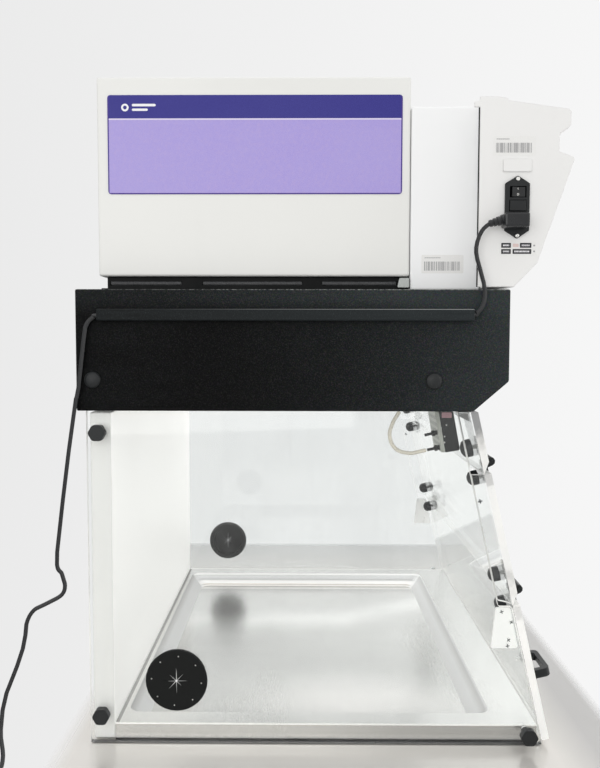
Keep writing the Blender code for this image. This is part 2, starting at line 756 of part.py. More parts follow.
# ---------------------------------------------------------------- casing
def build_casing():
    shape = [(CASE_REAR, CASE_Z0), (CHAMFER_D, CASE_Z0), (CASE_FRONT, CHAMFER_Z),
             (CASE_FRONT, CASE_Z1), (CASE_REAR, CASE_Z1)]
    case = side_plate("casing_shell", [shape], -CASE_HALF, CASE_HALF)
    add_bevel(case, 2.2, 2, 30.0)
    s = CASE_SHEET
    inside = [(CASE_REAR + s, CASE_Z0 - 8.0), (512.0, CASE_Z0 - 8.0), (512.0, CASE_Z0 + s),
              (CHAMFER_D - 1.0, CASE_Z0 + s), (CASE_FRONT - s, CHAMFER_Z + 1.2),
              (CASE_FRONT - s, CASE_Z1 - s), (CASE_REAR + s, CASE_Z1 - s)]
    cut(case, side_plate("casing_inside_tool", [inside], -CASE_HALF + s, CASE_HALF - s, cutter=True))
    cut(case, box("casing_filter_tool", (-325.0, 60.0, CASE_Z1 - 8.0), (325.0, 400.0, CASE_Z1 + 8.0),
                  cutter=True))
    cut(case, box("casing_fan_tool", (-325.0, 465.0, CASE_Z1 - 8.0), (325.0, 528.0, CASE_Z1 + 8.0),
                  cutter=True))
    holes = []
    for side in (-1, 1):
        for d, z in CAP_POINTS:
            holes.append(rod("case_hole", (side * (CASE_HALF - 8.0), d, z),
                             (side * (CASE_HALF + 8.0), d, z), 2.7, 8, cutter=True))
    cut(case, merge("casing_cap_tool", holes, cutter=True))
    bake(case)
    finish(case, "black_sheet")
    smooth(case.data, 30.0)
    for side, hand in ((-1, "left"), (1, "right")):
        for key, (d, z) in zip(("rear", "front"), CAP_POINTS):
            place = frame_at(at(side * CASE_HALF, d, z), (0, -1, 0), (0, 0, -side), (side, 0, 0))
            profile = [(0.0, 5.6)]
            for k in range(1, 5):
                a = math.radians(90.0 - 21.0 * k)
                profile.append((11.4 * math.cos(a), 1.0 + 4.6 * math.sin(a)))
            profile += [(11.4, 0.4), (2.1, 0.4), (2.1, -11.0), (0.0, -11.0)]
            cap = bake(turned("casing_cap_%s_%s" % (key, hand), profile, place, 18))
            finish(cap, "black_plastic")
            smooth(cap.data)


CHANNEL = (19.4, 529.6, 594.6, 610.4)      # rear, front, bottom, top
CHANNEL_OUT = CASE_HALF + 11.5


def build_channel():
    """Cord channel on the casing's left side: a C section open to the casing."""
    d0, d1, z0, z1 = CHANNEL
    block = box("cable_channel", (-CHANNEL_OUT, d0, z0), (-CASE_HALF - GAP, d1, z1), bevel=1.5)
    cut(block, box("cable_channel_tool", (-CHANNEL_OUT + 1.6, d0 - 5.0, z0 + 1.6),
                   (-CASE_HALF + 2.0, d1 + 5.0, z1 - 1.6), cutter=True))
    bake(block)
    finish(block, "black_sheet")
    smooth(block.data)


def build_rail():
    """Aluminium angle under the casing lip that carries the upper front panel."""
    def inside(z, back):
        return front_inner(z) - back
    section = [(inside(469.6, 0.4), 469.6), (inside(456.0, 0.4), 456.0), (inside(456.0, 2.6), 456.0),
               (inside(467.4, 2.6), 467.4), (inside(467.4, 14.0), 467.4), (inside(469.6, 14.0), 469.6)]
    rail = side_plate("front_rail", [section], -INNER + 2.0, INNER - 2.0)
    finish(rail, "alu")


def build_sensor():
    """Airflow sensor box hung under the casing with two hose barbs, its board, and the hose."""
    x0, x1 = -329.0, -262.0
    low, high = 407.0, 464.5

    def slope(z):
        return (high - z) * 0.185
    body = side_plate("sensor_body",
                      [rounded([(497.0 + slope(low), low - 2.5), (518.3 + slope(low), low + 1.0),
                                (518.3 + slope(high), high), (497.0 + slope(high), high)],
                               [1.0, 3.0, 1.0, 1.0], 3)], x0, x1)
    add_bevel(body, 1.0, 2, 50.0)
    bake(body)
    board = [(491.0 + slope(low), low - 2.0), (496.6 + slope(low), low - 2.0),
             (496.6 + slope(high), high), (491.0 + slope(high), high)]
    board = side_plate("sensor_board", [board], x0 - 2.0, x1 + 2.0)
    spots = [(x0 + 12.0, 432.5), (x0 + 12.0, 410.5)]
    barbs, holes = [], []
    for i, (x, z) in enumerate(spots):
        direction = Vector((0.0, 0.975, -0.22))
        side = Vector((1.0, 0.0, 0.0))
        place = frame_at(at(x, 499.0 + slope(z), z + 2.0), tuple(side), tuple(direction.cross(side)),
                         tuple(direction))
        profile = [(0.0, 27.0), (1.9, 27.0), (2.4, 24.5), (1.9, 24.0), (2.4, 21.0), (1.9, 20.5),
                   (2.2, 17.0), (4.3, 16.0), (4.3, 12.0), (3.5, 11.5), (3.5, 6.0), (3.5, -3.0),
                   (0.0, -3.0)]
        barbs.append(turned("barb_%d" % i, profile, place, 10))
        holes.append(turned("barb_hole_%d" % i, [(0.0, 12.0), (4.1, 12.0), (4.1, -2.2), (0.0, -2.2)],
                            place, 12, cutter=True))
    cut(board, merge("sensor_board_tool", holes, cutter=True))
    bake(board)
    barbs = merge("sensor_barbs", barbs)
    cut(body, barbs, "UNION")
    bake(body)
    bpy.data.objects.remove(barbs, do_unlink=True)
    finish(body, "black_plastic")
    smooth(body.data)
    finish(board, "board")
    x, z = spots[1]
    tip = (499.0 + slope(z) - 27.9, z - 4.2)
    way = [(441.3, 463.5), (433.0, 450.0), (427.0, 432.0), (430.5, 415.5), (441.0, 405.0),
           (458.0, 401.5), (tip[0] - 10.0, tip[1] - 2.2), tip]
    points = [at(x, d, z) for d, z in by_bend(way, 12.0, 25.0)]
    hose = tube("sensor_tube", points, 2.8, 2)
    finish(hose, "amber_tube")


def by_bend(way, turn, reach):
    """Points along a Catmull-Rom curve through the way points, closer where it bends: a new one
    after each turn of so many degrees, or after a straight run of reach millimetres."""
    size = len(way[0])
    dense = []
    last = len(way) - 1
    for i in range(last):
        p0, p1 = way[max(i - 1, 0)], way[i]
        p2, p3 = way[i + 1], way[min(i + 2, last)]
        for k in range(24):
            t = k / 24.0
            dense.append(tuple(
                0.5 * (2 * p1[j] + (p2[j] - p0[j]) * t
                       + (2 * p0[j] - 5 * p1[j] + 4 * p2[j] - p3[j]) * t * t
                       + (3 * p1[j] - p0[j] - 3 * p2[j] + p3[j]) * t * t * t)
                for j in range(size)))
    dense.append(tuple(way[-1]))
    out, bend = [dense[0]], 0.0
    for a, b, c in zip(dense, dense[1:], dense[2:]):
        bend += math.degrees((Vector(b) - Vector(a)).angle(Vector(c) - Vector(b)))
        if bend > turn or math.dist(out[-1], b) > reach:
            out.append(b)
            bend = 0.0
    out.append(dense[-1])
    return out


# ---------------------------------------------------------------- filter
def build_filter():
    seat_half = 362.0
    rear, front = 23.0, 437.0
    z0, z1 = CASE_Z1 + GAP, FILTER_Z0 - GAP
    seat = box("filter_seat", (-seat_half, rear, z0), (seat_half, front, z1), bevel=1.0, segments=1)
    flange = box("seat_flange", (-seat_half - 6.0, rear - 7.0, z0), (seat_half + 6.0, front + 6.0, z0 + 3.0))
    cut(seat, flange, "UNION")
    cut(seat, box("seat_inside_tool", (-seat_half + 5.0, rear + 5.0, z0 - 9.0),
                  (seat_half - 5.0, front - 5.0, z1 + 9.0), cutter=True))
    slots = []
    for i, (a, b) in enumerate(((27.0, 128.0), (157.0, 298.0), (325.0, 430.0))):
        slots.append(box("slot_%d" % i, (-seat_half - 3.0, a, 645.2), (-seat_half + 12.0, b, 650.8)))
        slots.append(box("slot_r%d" % i, (seat_half - 12.0, a, 645.2), (seat_half + 3.0, b, 650.8)))
    tool = merge("seat_slot_tool", slots, cutter=True)
    cut(seat, tool)
    bake(seat)
    bpy.data.objects.remove(flange, do_unlink=True)
    finish(seat, "black_sheet")
    inner = 5.6
    gasket = box("seat_gasket", (-seat_half + inner, rear + inner, z0 + 4.0),
                 (seat_half - inner, front - inner, z1))
    cut(gasket, box("gasket_tool", (-seat_half + inner + 12.0, rear + inner + 12.0, z0 - 9.0),
                    (seat_half - inner - 12.0, front - inner - 12.0, z1 + 9.0), cutter=True))
    bake(gasket)
    finish(gasket, "foam")

    h = FILTER_HALF
    case = box("filter_case", (-h, FILTER_REAR, FILTER_Z0), (h, FILTER_FRONT, FILTER_Z1),
               bevel=3.0, segments=3)
    s = 1.2
    cut(case, box("filter_inside_tool", (-h + s, FILTER_REAR + s, FILTER_Z0 + s),
                  (h - s, FILTER_FRONT - s, FILTER_Z1 - s), cutter=True))
    cut(case, box("filter_through_tool", (-h + 24.0, FILTER_REAR + 24.0, FILTER_Z0 - 9.0),
                  (h - 24.0, FILTER_FRONT - 24.0, FILTER_Z1 + 9.0), cutter=True))
    bake(case)
    finish(case, "warm_grey_paint")
    smooth(case.data, 30.0)

    grille = box("filter_grille", (-h + s + 0.6, FILTER_REAR + s + 0.6, FILTER_Z1 - s - 2.4),
                 (h - s - 0.6, FILTER_FRONT - s - 0.6, FILTER_Z1 - s - 0.4))
    bars = []
    rows, cols = 10, 2
    for i in range(rows):
        d0 = FILTER_REAR + 30.0 + i * 37.6
        for j in range(cols):
            x0 = -330.0 + j * 336.0
            bars.append(box("grille_%d_%d" % (i, j), (x0, d0, FILTER_Z1 - 20.0),
                            (x0 + 324.0, d0 + 30.0, FILTER_Z1 + 10.0)))
    cut(grille, merge("grille_tool", bars, cutter=True))
    bake(grille)
    finish(grille, "white_sheet")
    bed = box("carbon_bed", (-h + s + 1.0, FILTER_REAR + s + 1.0, FILTER_Z1 - s - 4.0 - CARBON_DEEP),
              (h - s - 1.0, FILTER_FRONT - s - 1.0, FILTER_Z1 - s - 4.0), bevel=2.0, segments=1)
    bake(bed)
    finish(bed, "carbon")

    face = rounded([(28.0, 770.5), (435.5, 770.5), (435.5, 905.5), (28.0, 905.5)], 4.0, 3)
    label = side_plate("filter_label", [face], -h - 0.8, -h - 0.3)
    finish(label, "label_pale")

    d0, d1 = 430.0, 446.5
    clamp = side_plate("filter_clamp",
                       [rounded([(d0, 641.6), (d1, 641.6), (d1, 655.0), (d0 + 3.0, 655.0)], 1.5, 2)],
                       -h - 2.5, -h + 1.0)
    finish(clamp, "alu")


# ---------------------------------------------------------------- fan unit
def build_fan():
    h = FAN_HALF
    house = box("fan_housing", (-h, FAN_REAR, FAN_Z0), (h, FAN_FRONT, FAN_Z1), bevel=2.5, segments=2)
    s = 1.6
    cut(house, box("fan_inside_tool", (-h + s, FAN_REAR + s, FAN_Z0 - 8.0),
                   (h - s, FAN_FRONT - s, FAN_Z1 - s), cutter=True))
    cut(house, box("fan_outlet_tool", (-180.0, FAN_REAR + 14.0, FAN_Z1 - 9.0),
                   (180.0, FAN_FRONT - 14.0, FAN_Z1 + 9.0), cutter=True))
    bake(house)
    finish(house, "cool_white_paint")
    smooth(house.data, 30.0)
    grille = box("fan_grille", (-179.4, FAN_REAR + 14.6, FAN_Z1 - 1.8), (179.4, FAN_FRONT - 14.6, FAN_Z1 + 1.0))
    slots = []
    for i in range(14):
        x = -172.0 + i * 24.8
        slots.append(box("vent_%d" % i, (x, FAN_REAR + 22.0, FAN_Z1 - 9.0),
                         (x + 19.0, FAN_FRONT - 22.0, FAN_Z1 + 9.0)))
    cut(grille, merge("vent_tool", slots, cutter=True))
    bake(grille)
    finish(grille, "cool_white_paint")

    centre_z = 765.0
    motor_d = 478.0
    motor = turned("fan_motor",
                   [(0.0, 30.0), (5.0, 30.0), (5.0, 8.0), (38.0, 6.0), (42.0, 2.0), (42.0, -24.0),
                    (38.0, -28.0), (0.0, -28.0)],
                   frame_at(at(0.0, motor_d, centre_z), (1, 0, 0), (0, 0, 1), (0, -1, 0)), 18)
    bake(motor)
    finish(motor, "black_plastic")
    smooth(motor.data)
    # impeller: back plate with hub, ring of blades, front ring
    place = frame_at(at(0.0, 490.0, centre_z), (1, 0, 0), (0, 0, 1), (0, -1, 0))
    disc = turned("fan_impeller", [(5.6, 14.0), (12.0, 14.0), (12.0, 3.0), (96.0, 3.0), (96.0, 0.0),
                                   (5.6, 0.0), (5.6, 14.0)], place, 24)
    bake(disc)
    ring = turned("impeller_ring", [(76.0, 44.0), (96.0, 44.0), (96.0, 41.0), (76.0, 41.0), (76.0, 44.0)],
                  place, 24)
    bake(ring)
    cut(disc, ring, "UNION")
    blades = []
    for k in range(16):
        a = 2.0 * math.pi * k / 16
        turn = place @ Matrix.Rotation(a, 4, "Z")
        spot = turn @ Matrix.Translation((86.0 * MM, 0.0, 22.0 * MM)) @ Matrix.Rotation(0.7, 4, "Z")
        bm = bmesh.new()
        bmesh.ops.create_cube(bm, size=1.0)
        bmesh.ops.scale(bm, vec=(18.0 * MM, 1.6 * MM, 41.0 * MM), verts=bm.verts)
        mesh = bpy.data.meshes.new("blade_%d" % k)
        bm.to_mesh(mesh)
        bm.free()
        blades.append(new_object("blade_%d" % k, mesh, spot))
    blades = merge("impeller_blades", blades)
    cut(disc, blades, "UNION")
    bake(disc)
    for extra in (ring, blades):
        bpy.data.objects.remove(extra, do_unlink=True)
    finish(disc, "cool_white_paint")


# ---------------------------------------------------------------- control head
HEAD_SHAPE = [(HEAD_REAR, 640.5), (585.0, 640.8), (616.6, 674.0), (627.0, 705.0), (649.4, 769.5),
              (663.7, 811.8), (661.5, 815.8), (642.8, 822.0), (643.4, 845.6), (653.4, 852.0),
              (658.2, 857.8), (658.2, 875.0), (655.6, 877.9), (573.3, 889.4), (573.3, 892.4),
              (558.4, 894.7), (HEAD_REAR, 894.7)]


def offset_loop(loop, distance):
    """Loop moved inwards by a distance; the loop runs anticlockwise."""
    out = []
    count = len(loop)
    for i in range(count):
        a, b, c = Vector(loop[i - 1]), Vector(loop[i]), Vector(loop[(i + 1) % count])
        u, v = (b - a).normalized(), (c - b).normalized()
        nu, nv = Vector((-u.y, u.x)), Vector((-v.y, v.x))
        mean = (nu + nv).normalized()
        out.append(tuple(b + mean * (distance / max(0.35, mean.dot(nu)))))
    return out


def build_head():
    outer = HEAD_SHAPE
    end = HEAD_HALF - HEAD_END - GAP
    shell = side_plate("head_shell", [outer], -end, end)
    cut(shell, side_plate("head_inside_tool", [offset_loop(outer, 2.0)], -end - 5.0, end + 5.0,
                          cutter=True))
    bake(shell)
    finish(shell, "warm_grey_paint")

    cover = [(535.4, 640.5)] + HEAD_SHAPE[1:-1] + [(535.4, 894.7), (535.4, 888.5), (527.8, 888.5),
                                                   (527.8, 880.5), (535.4, 880.5)]
    right = side_plate("head_end_right", [cover], HEAD_HALF - HEAD_END, HEAD_HALF)
    add_bevel(right, 0.8, 1, 50.0)
    bake(right)
    finish(right, "warm_grey_paint")
    hole = rounded(rect(572.8, 718.0, 600.6, 777.0), 2.0, 2)
    screws = [circle(587.1, 785.0, 1.9, 12), circle(587.1, 709.7, 1.9, 12)]
    left = side_plate("head_end_left", [cover, hole] + screws, -HEAD_HALF, -HEAD_HALF + HEAD_END)
    add_bevel(left, 0.8, 1, 50.0)
    bake(left)
    finish(left, "warm_grey_paint")


def build_inlet():
    flange = [(570.2, 779.1), (587.0, 789.4), (603.2, 779.1), (603.2, 716.3), (587.1, 705.4),
              (570.2, 716.3)]
    screws = [circle(587.1, 785.0, 1.7, 12), circle(587.1, 709.7, 1.7, 12)]
    front = -HEAD_HALF - 3.0
    inlet = side_plate("inlet_body", [rounded(flange, 2.0, 2)] + screws, front, -HEAD_HALF - 0.3)
    core = box("inlet_core", (-HEAD_HALF - 1.5, 573.4, 718.6), (-HEAD_HALF + 34.0, 600.0, 776.4))
    bake(core)
    cut(inlet, core, "UNION")
    pockets = [box("rocker_pocket", (front - 5.0, 576.6, 760.4), (-HEAD_HALF + 18.0, 598.8, 775.4)),
               box("fuse_pocket", (front - 5.0, 576.0, 741.6), (-HEAD_HALF + 26.0, 599.2, 757.2)),
               box("socket_pocket", (front - 5.0, 575.4, 720.6), (-HEAD_HALF + 22.0, 598.4, 738.4))]
    cut(inlet, merge("inlet_pocket_tool", pockets, cutter=True))
    bake(inlet)
    bpy.data.objects.remove(core, do_unlink=True)
    finish(inlet, "black_plastic")

    # rocker: shallow V turned about an upright pivot inside the pocket, one half pressed in
    pivot = at(-HEAD_HALF + 4.0, 587.7, 767.9)
    tip = math.radians(ROCKER_TILT)
    vee = [(-9.0, -2.0), (9.0, -2.0), (9.0, 7.2), (0.0, 6.2), (-9.0, 7.2)]
    vee = [(u * math.cos(tip) + v * math.sin(tip), v * math.cos(tip) - u * math.sin(tip)) for u, v in vee]
    rocker = outline("rocker_switch", [vee], 13.0, frame_at(pivot, (0, -1, 0), (-1, 0, 0), (0, 0, -1)))
    finish(rocker, "black_plastic")

    drawer = box("fuse_drawer", (front - 1.2, 576.8, 742.4), (-HEAD_HALF + 20.0, 598.4, 756.4), bevel=0.5,
                 segments=1)
    bake(drawer)
    finish(drawer, "black_plastic")
    blank = side_plate("blank_plate", [rounded(rect(567.3, 794.8, 606.0, 811.8), 2.0, 3)],
                       -HEAD_HALF - 2.2, -HEAD_HALF - 0.3)
    finish(blank, "warm_grey_paint")


# ---------------------------------------------------------------- cord
def build_cord():
    """Moulded cord set: angled connector in the inlet, down to the channel, along it, down
    behind the hood, onto the bench, and a wall plug."""
    front = -HEAD_HALF - 3.0
    cord_x = front - 13.0
    chan_x = -CASE_HALF - 5.4
    chan_z = 602.5
    way = [(cord_x, 553.0, 725.2), (-415.6, 545.5, 722.4), (-414.6, 537.6, 714.8),
           (-413.4, 531.8, 701.0), (-412.3, 530.4, 686.0), (-411.6, 535.0, 667.0),
           (-411.0, 541.4, 646.0), (-411.0, 543.6, 630.0), (-411.0, 541.0, 616.0),
           (-410.8, 534.0, 606.0), (chan_x, 521.0, chan_z), (chan_x, 420.0, chan_z), (chan_x, 300.0, chan_z),
           (chan_x, 160.0, chan_z), (chan_x, 30.0, chan_z), (chan_x, 14.0, 599.0),
           (-410.5, 4.5, 588.0), (-411.0, 1.4, 570.0), (-411.0, -0.5, 547.0),
           (-411.0, -3.6, 524.0), (-411.0, -8.2, 496.0), (-411.5, -13.0, 474.0),
           (-412.0, -27.5, 370.0), (-412.0, -40.0, 268.0), (-414.0, -32.6, 246.0),
           (-416.0, -28.2, 230.0), (-418.0, -33.0, 218.0), (-421.0, -51.0, 208.0),
           (-424.0, -69.0, 199.0), (-427.0, -78.0, 183.0), (-431.0, -80.0, 160.0),
           (-436.0, -86.0, 134.0), (-444.0, -98.0, 102.0), (-452.0, -104.0, 74.0),
           (-462.0, -104.0, 43.0), (-474.0, -97.0, 20.0), (-488.0, -97.0, 7.0),
           (-500.0, -110.0, 4.2), (-504.0, -132.0, 3.9), (-494.0, -156.0, 3.9),
           (-470.0, -168.0, 3.9), (-440.0, -170.0, 4.6), (-410.0, -170.0, 12.0),
           (-392.0, -170.0, 15.0)]
    points = [at(*p) for p in by_bend(way, 9.0, 70.0)]
    cord = tube("power_cord", points, CORD_R, 1)

    block = box("plug_block", (front - 25.0, 565.0, 718.4), (front - 0.5, 598.0, 737.0), bevel=2.5)
    nose = box("plug_nose", (front - 2.0, 576.2, 723.2), (-HEAD_HALF + 14.0, 597.6, 736.0))
    lean = Vector((0.0, 0.9628, -0.2702))
    profile = [(0.0, 21.0), (3.9, 21.0), (4.8, 19.5), (4.8, 17.0), (4.2, 16.6), (4.2, 15.2),
               (5.5, 14.8), (5.5, 11.8), (4.9, 11.4), (4.9, 10.0), (6.2, 9.6), (6.2, 6.2),
               (5.6, 5.8), (5.6, 4.4), (7.2, 4.0), (7.2, -3.0), (0.0, -3.0)]
    relief = turned("plug_relief", profile,
                    frame_at(at(cord_x, 566.5, 729.0), (1, 0, 0), tuple(lean.cross(Vector((1, 0, 0)))),
                             tuple(lean)), 16)
    # wall plug lying on the bench behind the hood
    place = frame_at(at(-404.0, -170.0, 15.0), (0, 1, 0), (0, 0, 1), (1, 0, 0))
    plug = turned("mains_plug", [(0.0, 52.0), (12.0, 52.0), (14.4, 50.0), (14.4, 28.0), (9.0, 18.0),
                                 (5.0, 12.0), (4.4, 0.0), (0.0, 0.0)], place, 14)
    pins = []
    for i, x in enumerate((-9.5, 9.5)):
        spot = place @ Matrix.Translation((x * MM, 0.0, 60.0 * MM))
        pins.append(turned("plug_pin_%d" % i, [(0.0, 11.0), (1.6, 11.0), (2.4, 9.6), (2.4, -9.0),
                                               (0.0, -9.0)], spot, 8))
    pins = merge("plug_pins", pins)
    for extra in (nose, relief, plug, pins, block):
        bake(extra)
        cut(cord, extra, "UNION")
    bake(cord)
    for extra in (nose, relief, plug, pins, block):
        bpy.data.objects.remove(extra, do_unlink=True)
    finish(cord, "black_rubber")
    smooth(cord.data, 45.0)


# ---------------------------------------------------------------- assembly
def main():
    clear_scene()
    build_tray()
    build_back()
    build_side_panels()
    build_grommets()
    upper, middle, lower = build_front()
    carried, axis_high, axis_low = build_hinges(upper, middle, lower)
    handle = build_handle(lower)
    for panel in (upper, middle, lower):
        bake(panel)
        finish(panel, "acrylic")
    set_origin(middle, axis_high)
    set_origin(lower, axis_low)
    for piece in carried["middle"]:
        ride(piece, middle)
    for piece in carried["lower"] + [handle]:
        ride(piece, lower)
    ride(lower, middle)
    build_knobs()
    build_catches()
    build_casing()
    build_channel()
    build_rail()
    build_sensor()
    build_filter()
    build_fan()
    build_head()
    build_inlet()
    build_cord()


main()
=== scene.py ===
"""Looks for the ductless fume hood: finishes, small surface detail, lights and camera.

Everything is in metres in the part's own frame: +X to the operator's right, -Y to the
operator, +Z up, origin on the bench under the middle of the tray.
"""

import math

import bmesh
import bpy
from mathutils import Matrix, Vector


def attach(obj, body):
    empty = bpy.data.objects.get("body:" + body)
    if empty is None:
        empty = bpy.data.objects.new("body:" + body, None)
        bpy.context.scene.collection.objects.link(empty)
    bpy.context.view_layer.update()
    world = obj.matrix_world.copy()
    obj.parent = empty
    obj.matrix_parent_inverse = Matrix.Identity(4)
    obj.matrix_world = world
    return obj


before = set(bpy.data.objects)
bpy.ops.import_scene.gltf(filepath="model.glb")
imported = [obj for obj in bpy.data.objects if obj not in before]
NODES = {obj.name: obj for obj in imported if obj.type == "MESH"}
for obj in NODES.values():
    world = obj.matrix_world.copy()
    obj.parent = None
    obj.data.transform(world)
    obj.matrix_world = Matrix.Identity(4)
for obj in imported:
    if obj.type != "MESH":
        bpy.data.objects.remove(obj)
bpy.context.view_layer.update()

MM = 0.001

# Sizes in millimetres. Depths run forward from the rear edge of the side panels.
REAR = 327.5                                  # depth of the origin
PAN_FLOOR, PAN_TOP, PAN_HALF = 2.5, 25.0, 391.0
FOLD_DARK, FOLD_LIGHT = 327.0, 311.0          # x of the painted shade line and painted highlight line where the far wall meets the floor
FOOT, FOOT_Z, SLOPE, SHEET = 645.5, 10.0, 0.231, 10.3      # the sloping front: foot, lean, sheet depth
CASING_TOP, CHANNEL_TOP = 636.3, 609.5        # heights above which the upper corners get a painted highlight
LABEL_REAR, LABEL_FRONT, LABEL_LOW = 28.0, 435.5, 770.5
BAND_LOW, RULE_LOW = 873.8, 871.8             # the label's dark band and the pale rule under it
ROCKER_D, BAR_Z, RING_Z = 587.6, 772.0, 764.6              # the rocker's middle and its two marks
HEAD_FACE, FAN_FACE, LABEL_FACE = -400.3, -370.05, -370.85     # x of the faces that carry stickers
INLET_FACE, SENSOR_FACE, HEAD_STRIP = -403.1, -329.1, -397.0
GROMMET_FACE, GROMMET_D, GROMMET_Z = 402.65, 122.2, 91.4
CATCH_IN, CATCH_OUT = 388.5, 391.72           # chamber side and outer side of the catch plates
WING_FACE, WING_D, WING_Z = 400.05, 543.5, 346.8
SEAT_STRIP = 358.2


def place(x, depth, z):
    """Point from millimetres: x across, depth forward from the rear edge of the side panels, z up."""
    return Vector((x * MM, (REAR - depth) * MM, z * MM))


# ---------------------------------------------------------------- material building
class Tree:
    """A material, or the world, and short calls that add and join its nodes."""

    def __init__(self, name, owner=None):
        self.mat = owner or bpy.data.materials.new(name)
        self.mat.use_nodes = True
        self.nodes = self.mat.node_tree.nodes
        self.links = self.mat.node_tree.links
        self.nodes.clear()
        self.out = self.nodes.new("ShaderNodeOutputWorld" if owner else "ShaderNodeOutputMaterial")

    def put(self, socket, value):
        if isinstance(value, bpy.types.NodeSocket):
            self.links.new(value, socket)
        elif isinstance(value, (tuple, list)) and len(value) == 3 and socket.type == "RGBA":
            socket.default_value = (*value, 1.0)
        else:
            socket.default_value = value

    def node(self, kind, settings=None, **inputs):
        n = self.nodes.new(kind)
        for key, value in (settings or {}).items():
            setattr(n, key, value)
        for key, value in inputs.items():
            self.put(n.inputs[key.replace("_", " ")], value)
        return n

    def coords(self, stretch=(1.0, 1.0, 1.0), turn=(0.0, 0.0, 0.0)):
        raw = self.node("ShaderNodeTexCoord").outputs["Object"]
        if stretch == (1.0, 1.0, 1.0) and turn == (0.0, 0.0, 0.0):
            return raw
        m = self.node("ShaderNodeMapping", Vector=raw, Scale=stretch, Rotation=turn)
        return m.outputs["Vector"]

    def noise(self, vector, scale, detail=2.0, rough=0.5, distortion=0.0):
        n = self.node("ShaderNodeTexNoise", Vector=vector, Scale=scale, Detail=detail,
                      Roughness=rough, Distortion=distortion)
        return n.outputs["Fac"]

    def cells(self, vector, scale):
        return self.node("ShaderNodeTexVoronoi", Vector=vector, Scale=scale).outputs

    def calc(self, op, a, b=0.0):
        n = self.node("ShaderNodeMath", {"operation": op})
        self.put(n.inputs[0], a)
        self.put(n.inputs[1], b)
        return n.outputs[0]

    def total(self, *values):
        out = values[0]
        for value in values[1:]:
            out = self.calc("ADD", out, value)
        return out

    def times(self, *values):
        out = values[0]
        for value in values[1:]:
            out = self.calc("MULTIPLY", out, value)
        return out

    def most(self, *values):
        out = values[0]
        for value in values[1:]:
            out = self.calc("MAXIMUM", out, value)
        return out

    def above(self, value, limit):
        """1 where a value is over a limit, else 0."""
        return self.calc("GREATER_THAN", value, limit)

    def below(self, value, limit):
        """1 where a value is under a limit, else 0."""
        return self.calc("LESS_THAN", value, limit)

    def size(self, value):
        return self.calc("ABSOLUTE", value)

    def rest(self, value):
        """What is left of 1."""
        return self.calc("SUBTRACT", 1.0, value)

    def fit(self, value, lo, hi, to_lo=0.0, to_hi=1.0):
        n = self.node("ShaderNodeMapRange", {"clamp": True})
        for i, v in enumerate((value, lo, hi, to_lo, to_hi)):
            self.put(n.inputs[i], v)
        return n.outputs[0]

    def mix(self, factor, a, b, blend="MIX"):
        n = self.node("ShaderNodeMix", {"data_type": "RGBA", "blend_type": blend})
        self.put(n.inputs[0], factor)
        self.put(n.inputs[6], a)
        self.put(n.inputs[7], b)
        return n.outputs[2]

    def blend(self, factor, first, second):
        """Two shaders mixed: the first at 0, the second at 1."""
        n = self.node("ShaderNodeMixShader", Fac=factor)
        self.put(n.inputs[1], first)
        self.put(n.inputs[2], second)
        return n.outputs[0]

    def dot(self, a, b):
        n = self.node("ShaderNodeVectorMath", {"operation": "DOT_PRODUCT"})
        self.put(n.inputs[0], a)
        self.put(n.inputs[1], b)
        return n.outputs["Value"]

    def bump(self, height, distance, strength=1.0, under=None):
        n = self.node("ShaderNodeBump", Strength=strength, Distance=distance, Height=height)
        if under is not None:
            self.put(n.inputs["Normal"], under)
        return n.outputs["Normal"]

    def edges(self, radius=0.0015):
        """1 along worn outside edges, 0 on open faces."""
        soft = self.node("ShaderNodeBevel", {"samples": 6}, Radius=radius).outputs[0]
        flat = self.node("ShaderNodeNewGeometry").outputs["Normal"]
        return self.fit(self.dot(soft, flat), 0.99, 0.80)

    def axes(self, vector=None):
        """X, Y and Z sockets of a position, the object's own by default."""
        n = self.node("ShaderNodeSeparateXYZ")
        self.put(n.inputs[0], self.coords() if vector is None else vector)
        return n.outputs

    def turned(self):
        """X, Y and Z sockets of the way a face looks."""
        return self.axes(self.node("ShaderNodeTexCoord").outputs["Normal"])

    def rounded(self, radius, samples=4):
        """Normal that turns smoothly over edges, as a folded or moulded edge does."""
        return self.node("ShaderNodeBevel", {"samples": samples}, Radius=radius).outputs[0]

    def within(self, value, lo, hi):
        """1 where a value lies between two limits, else 0."""
        return self.times(self.above(value, lo), self.below(value, hi))

    def bell(self, value, middle, half):
        """Smooth hump, 1 at the middle and fading over about a half width each way."""
        off = self.calc("DIVIDE", self.calc("SUBTRACT", value, middle), half)
        return self.calc("EXPONENT", self.times(off, off, -1.0))

    def surface(self, **inputs):
        """Principled surface; input names as Blender's, with _ for a space."""
        self.show(self.node("ShaderNodeBsdfPrincipled", **inputs).outputs[0])

    def show(self, shader):
        self.put(self.out.inputs["Surface"], shader)


def shade(rgb, gain):
    return tuple(min(1.0, c * gain) for c in rgb)


def srgb(r, g, b):
    """Linear colour from 0-255 display values."""
    def one(v):
        v /= 255.0
        return v / 12.92 if v <= 0.04045 else ((v + 0.055) / 1.055) ** 2.4
    return one(r), one(g), one(b)


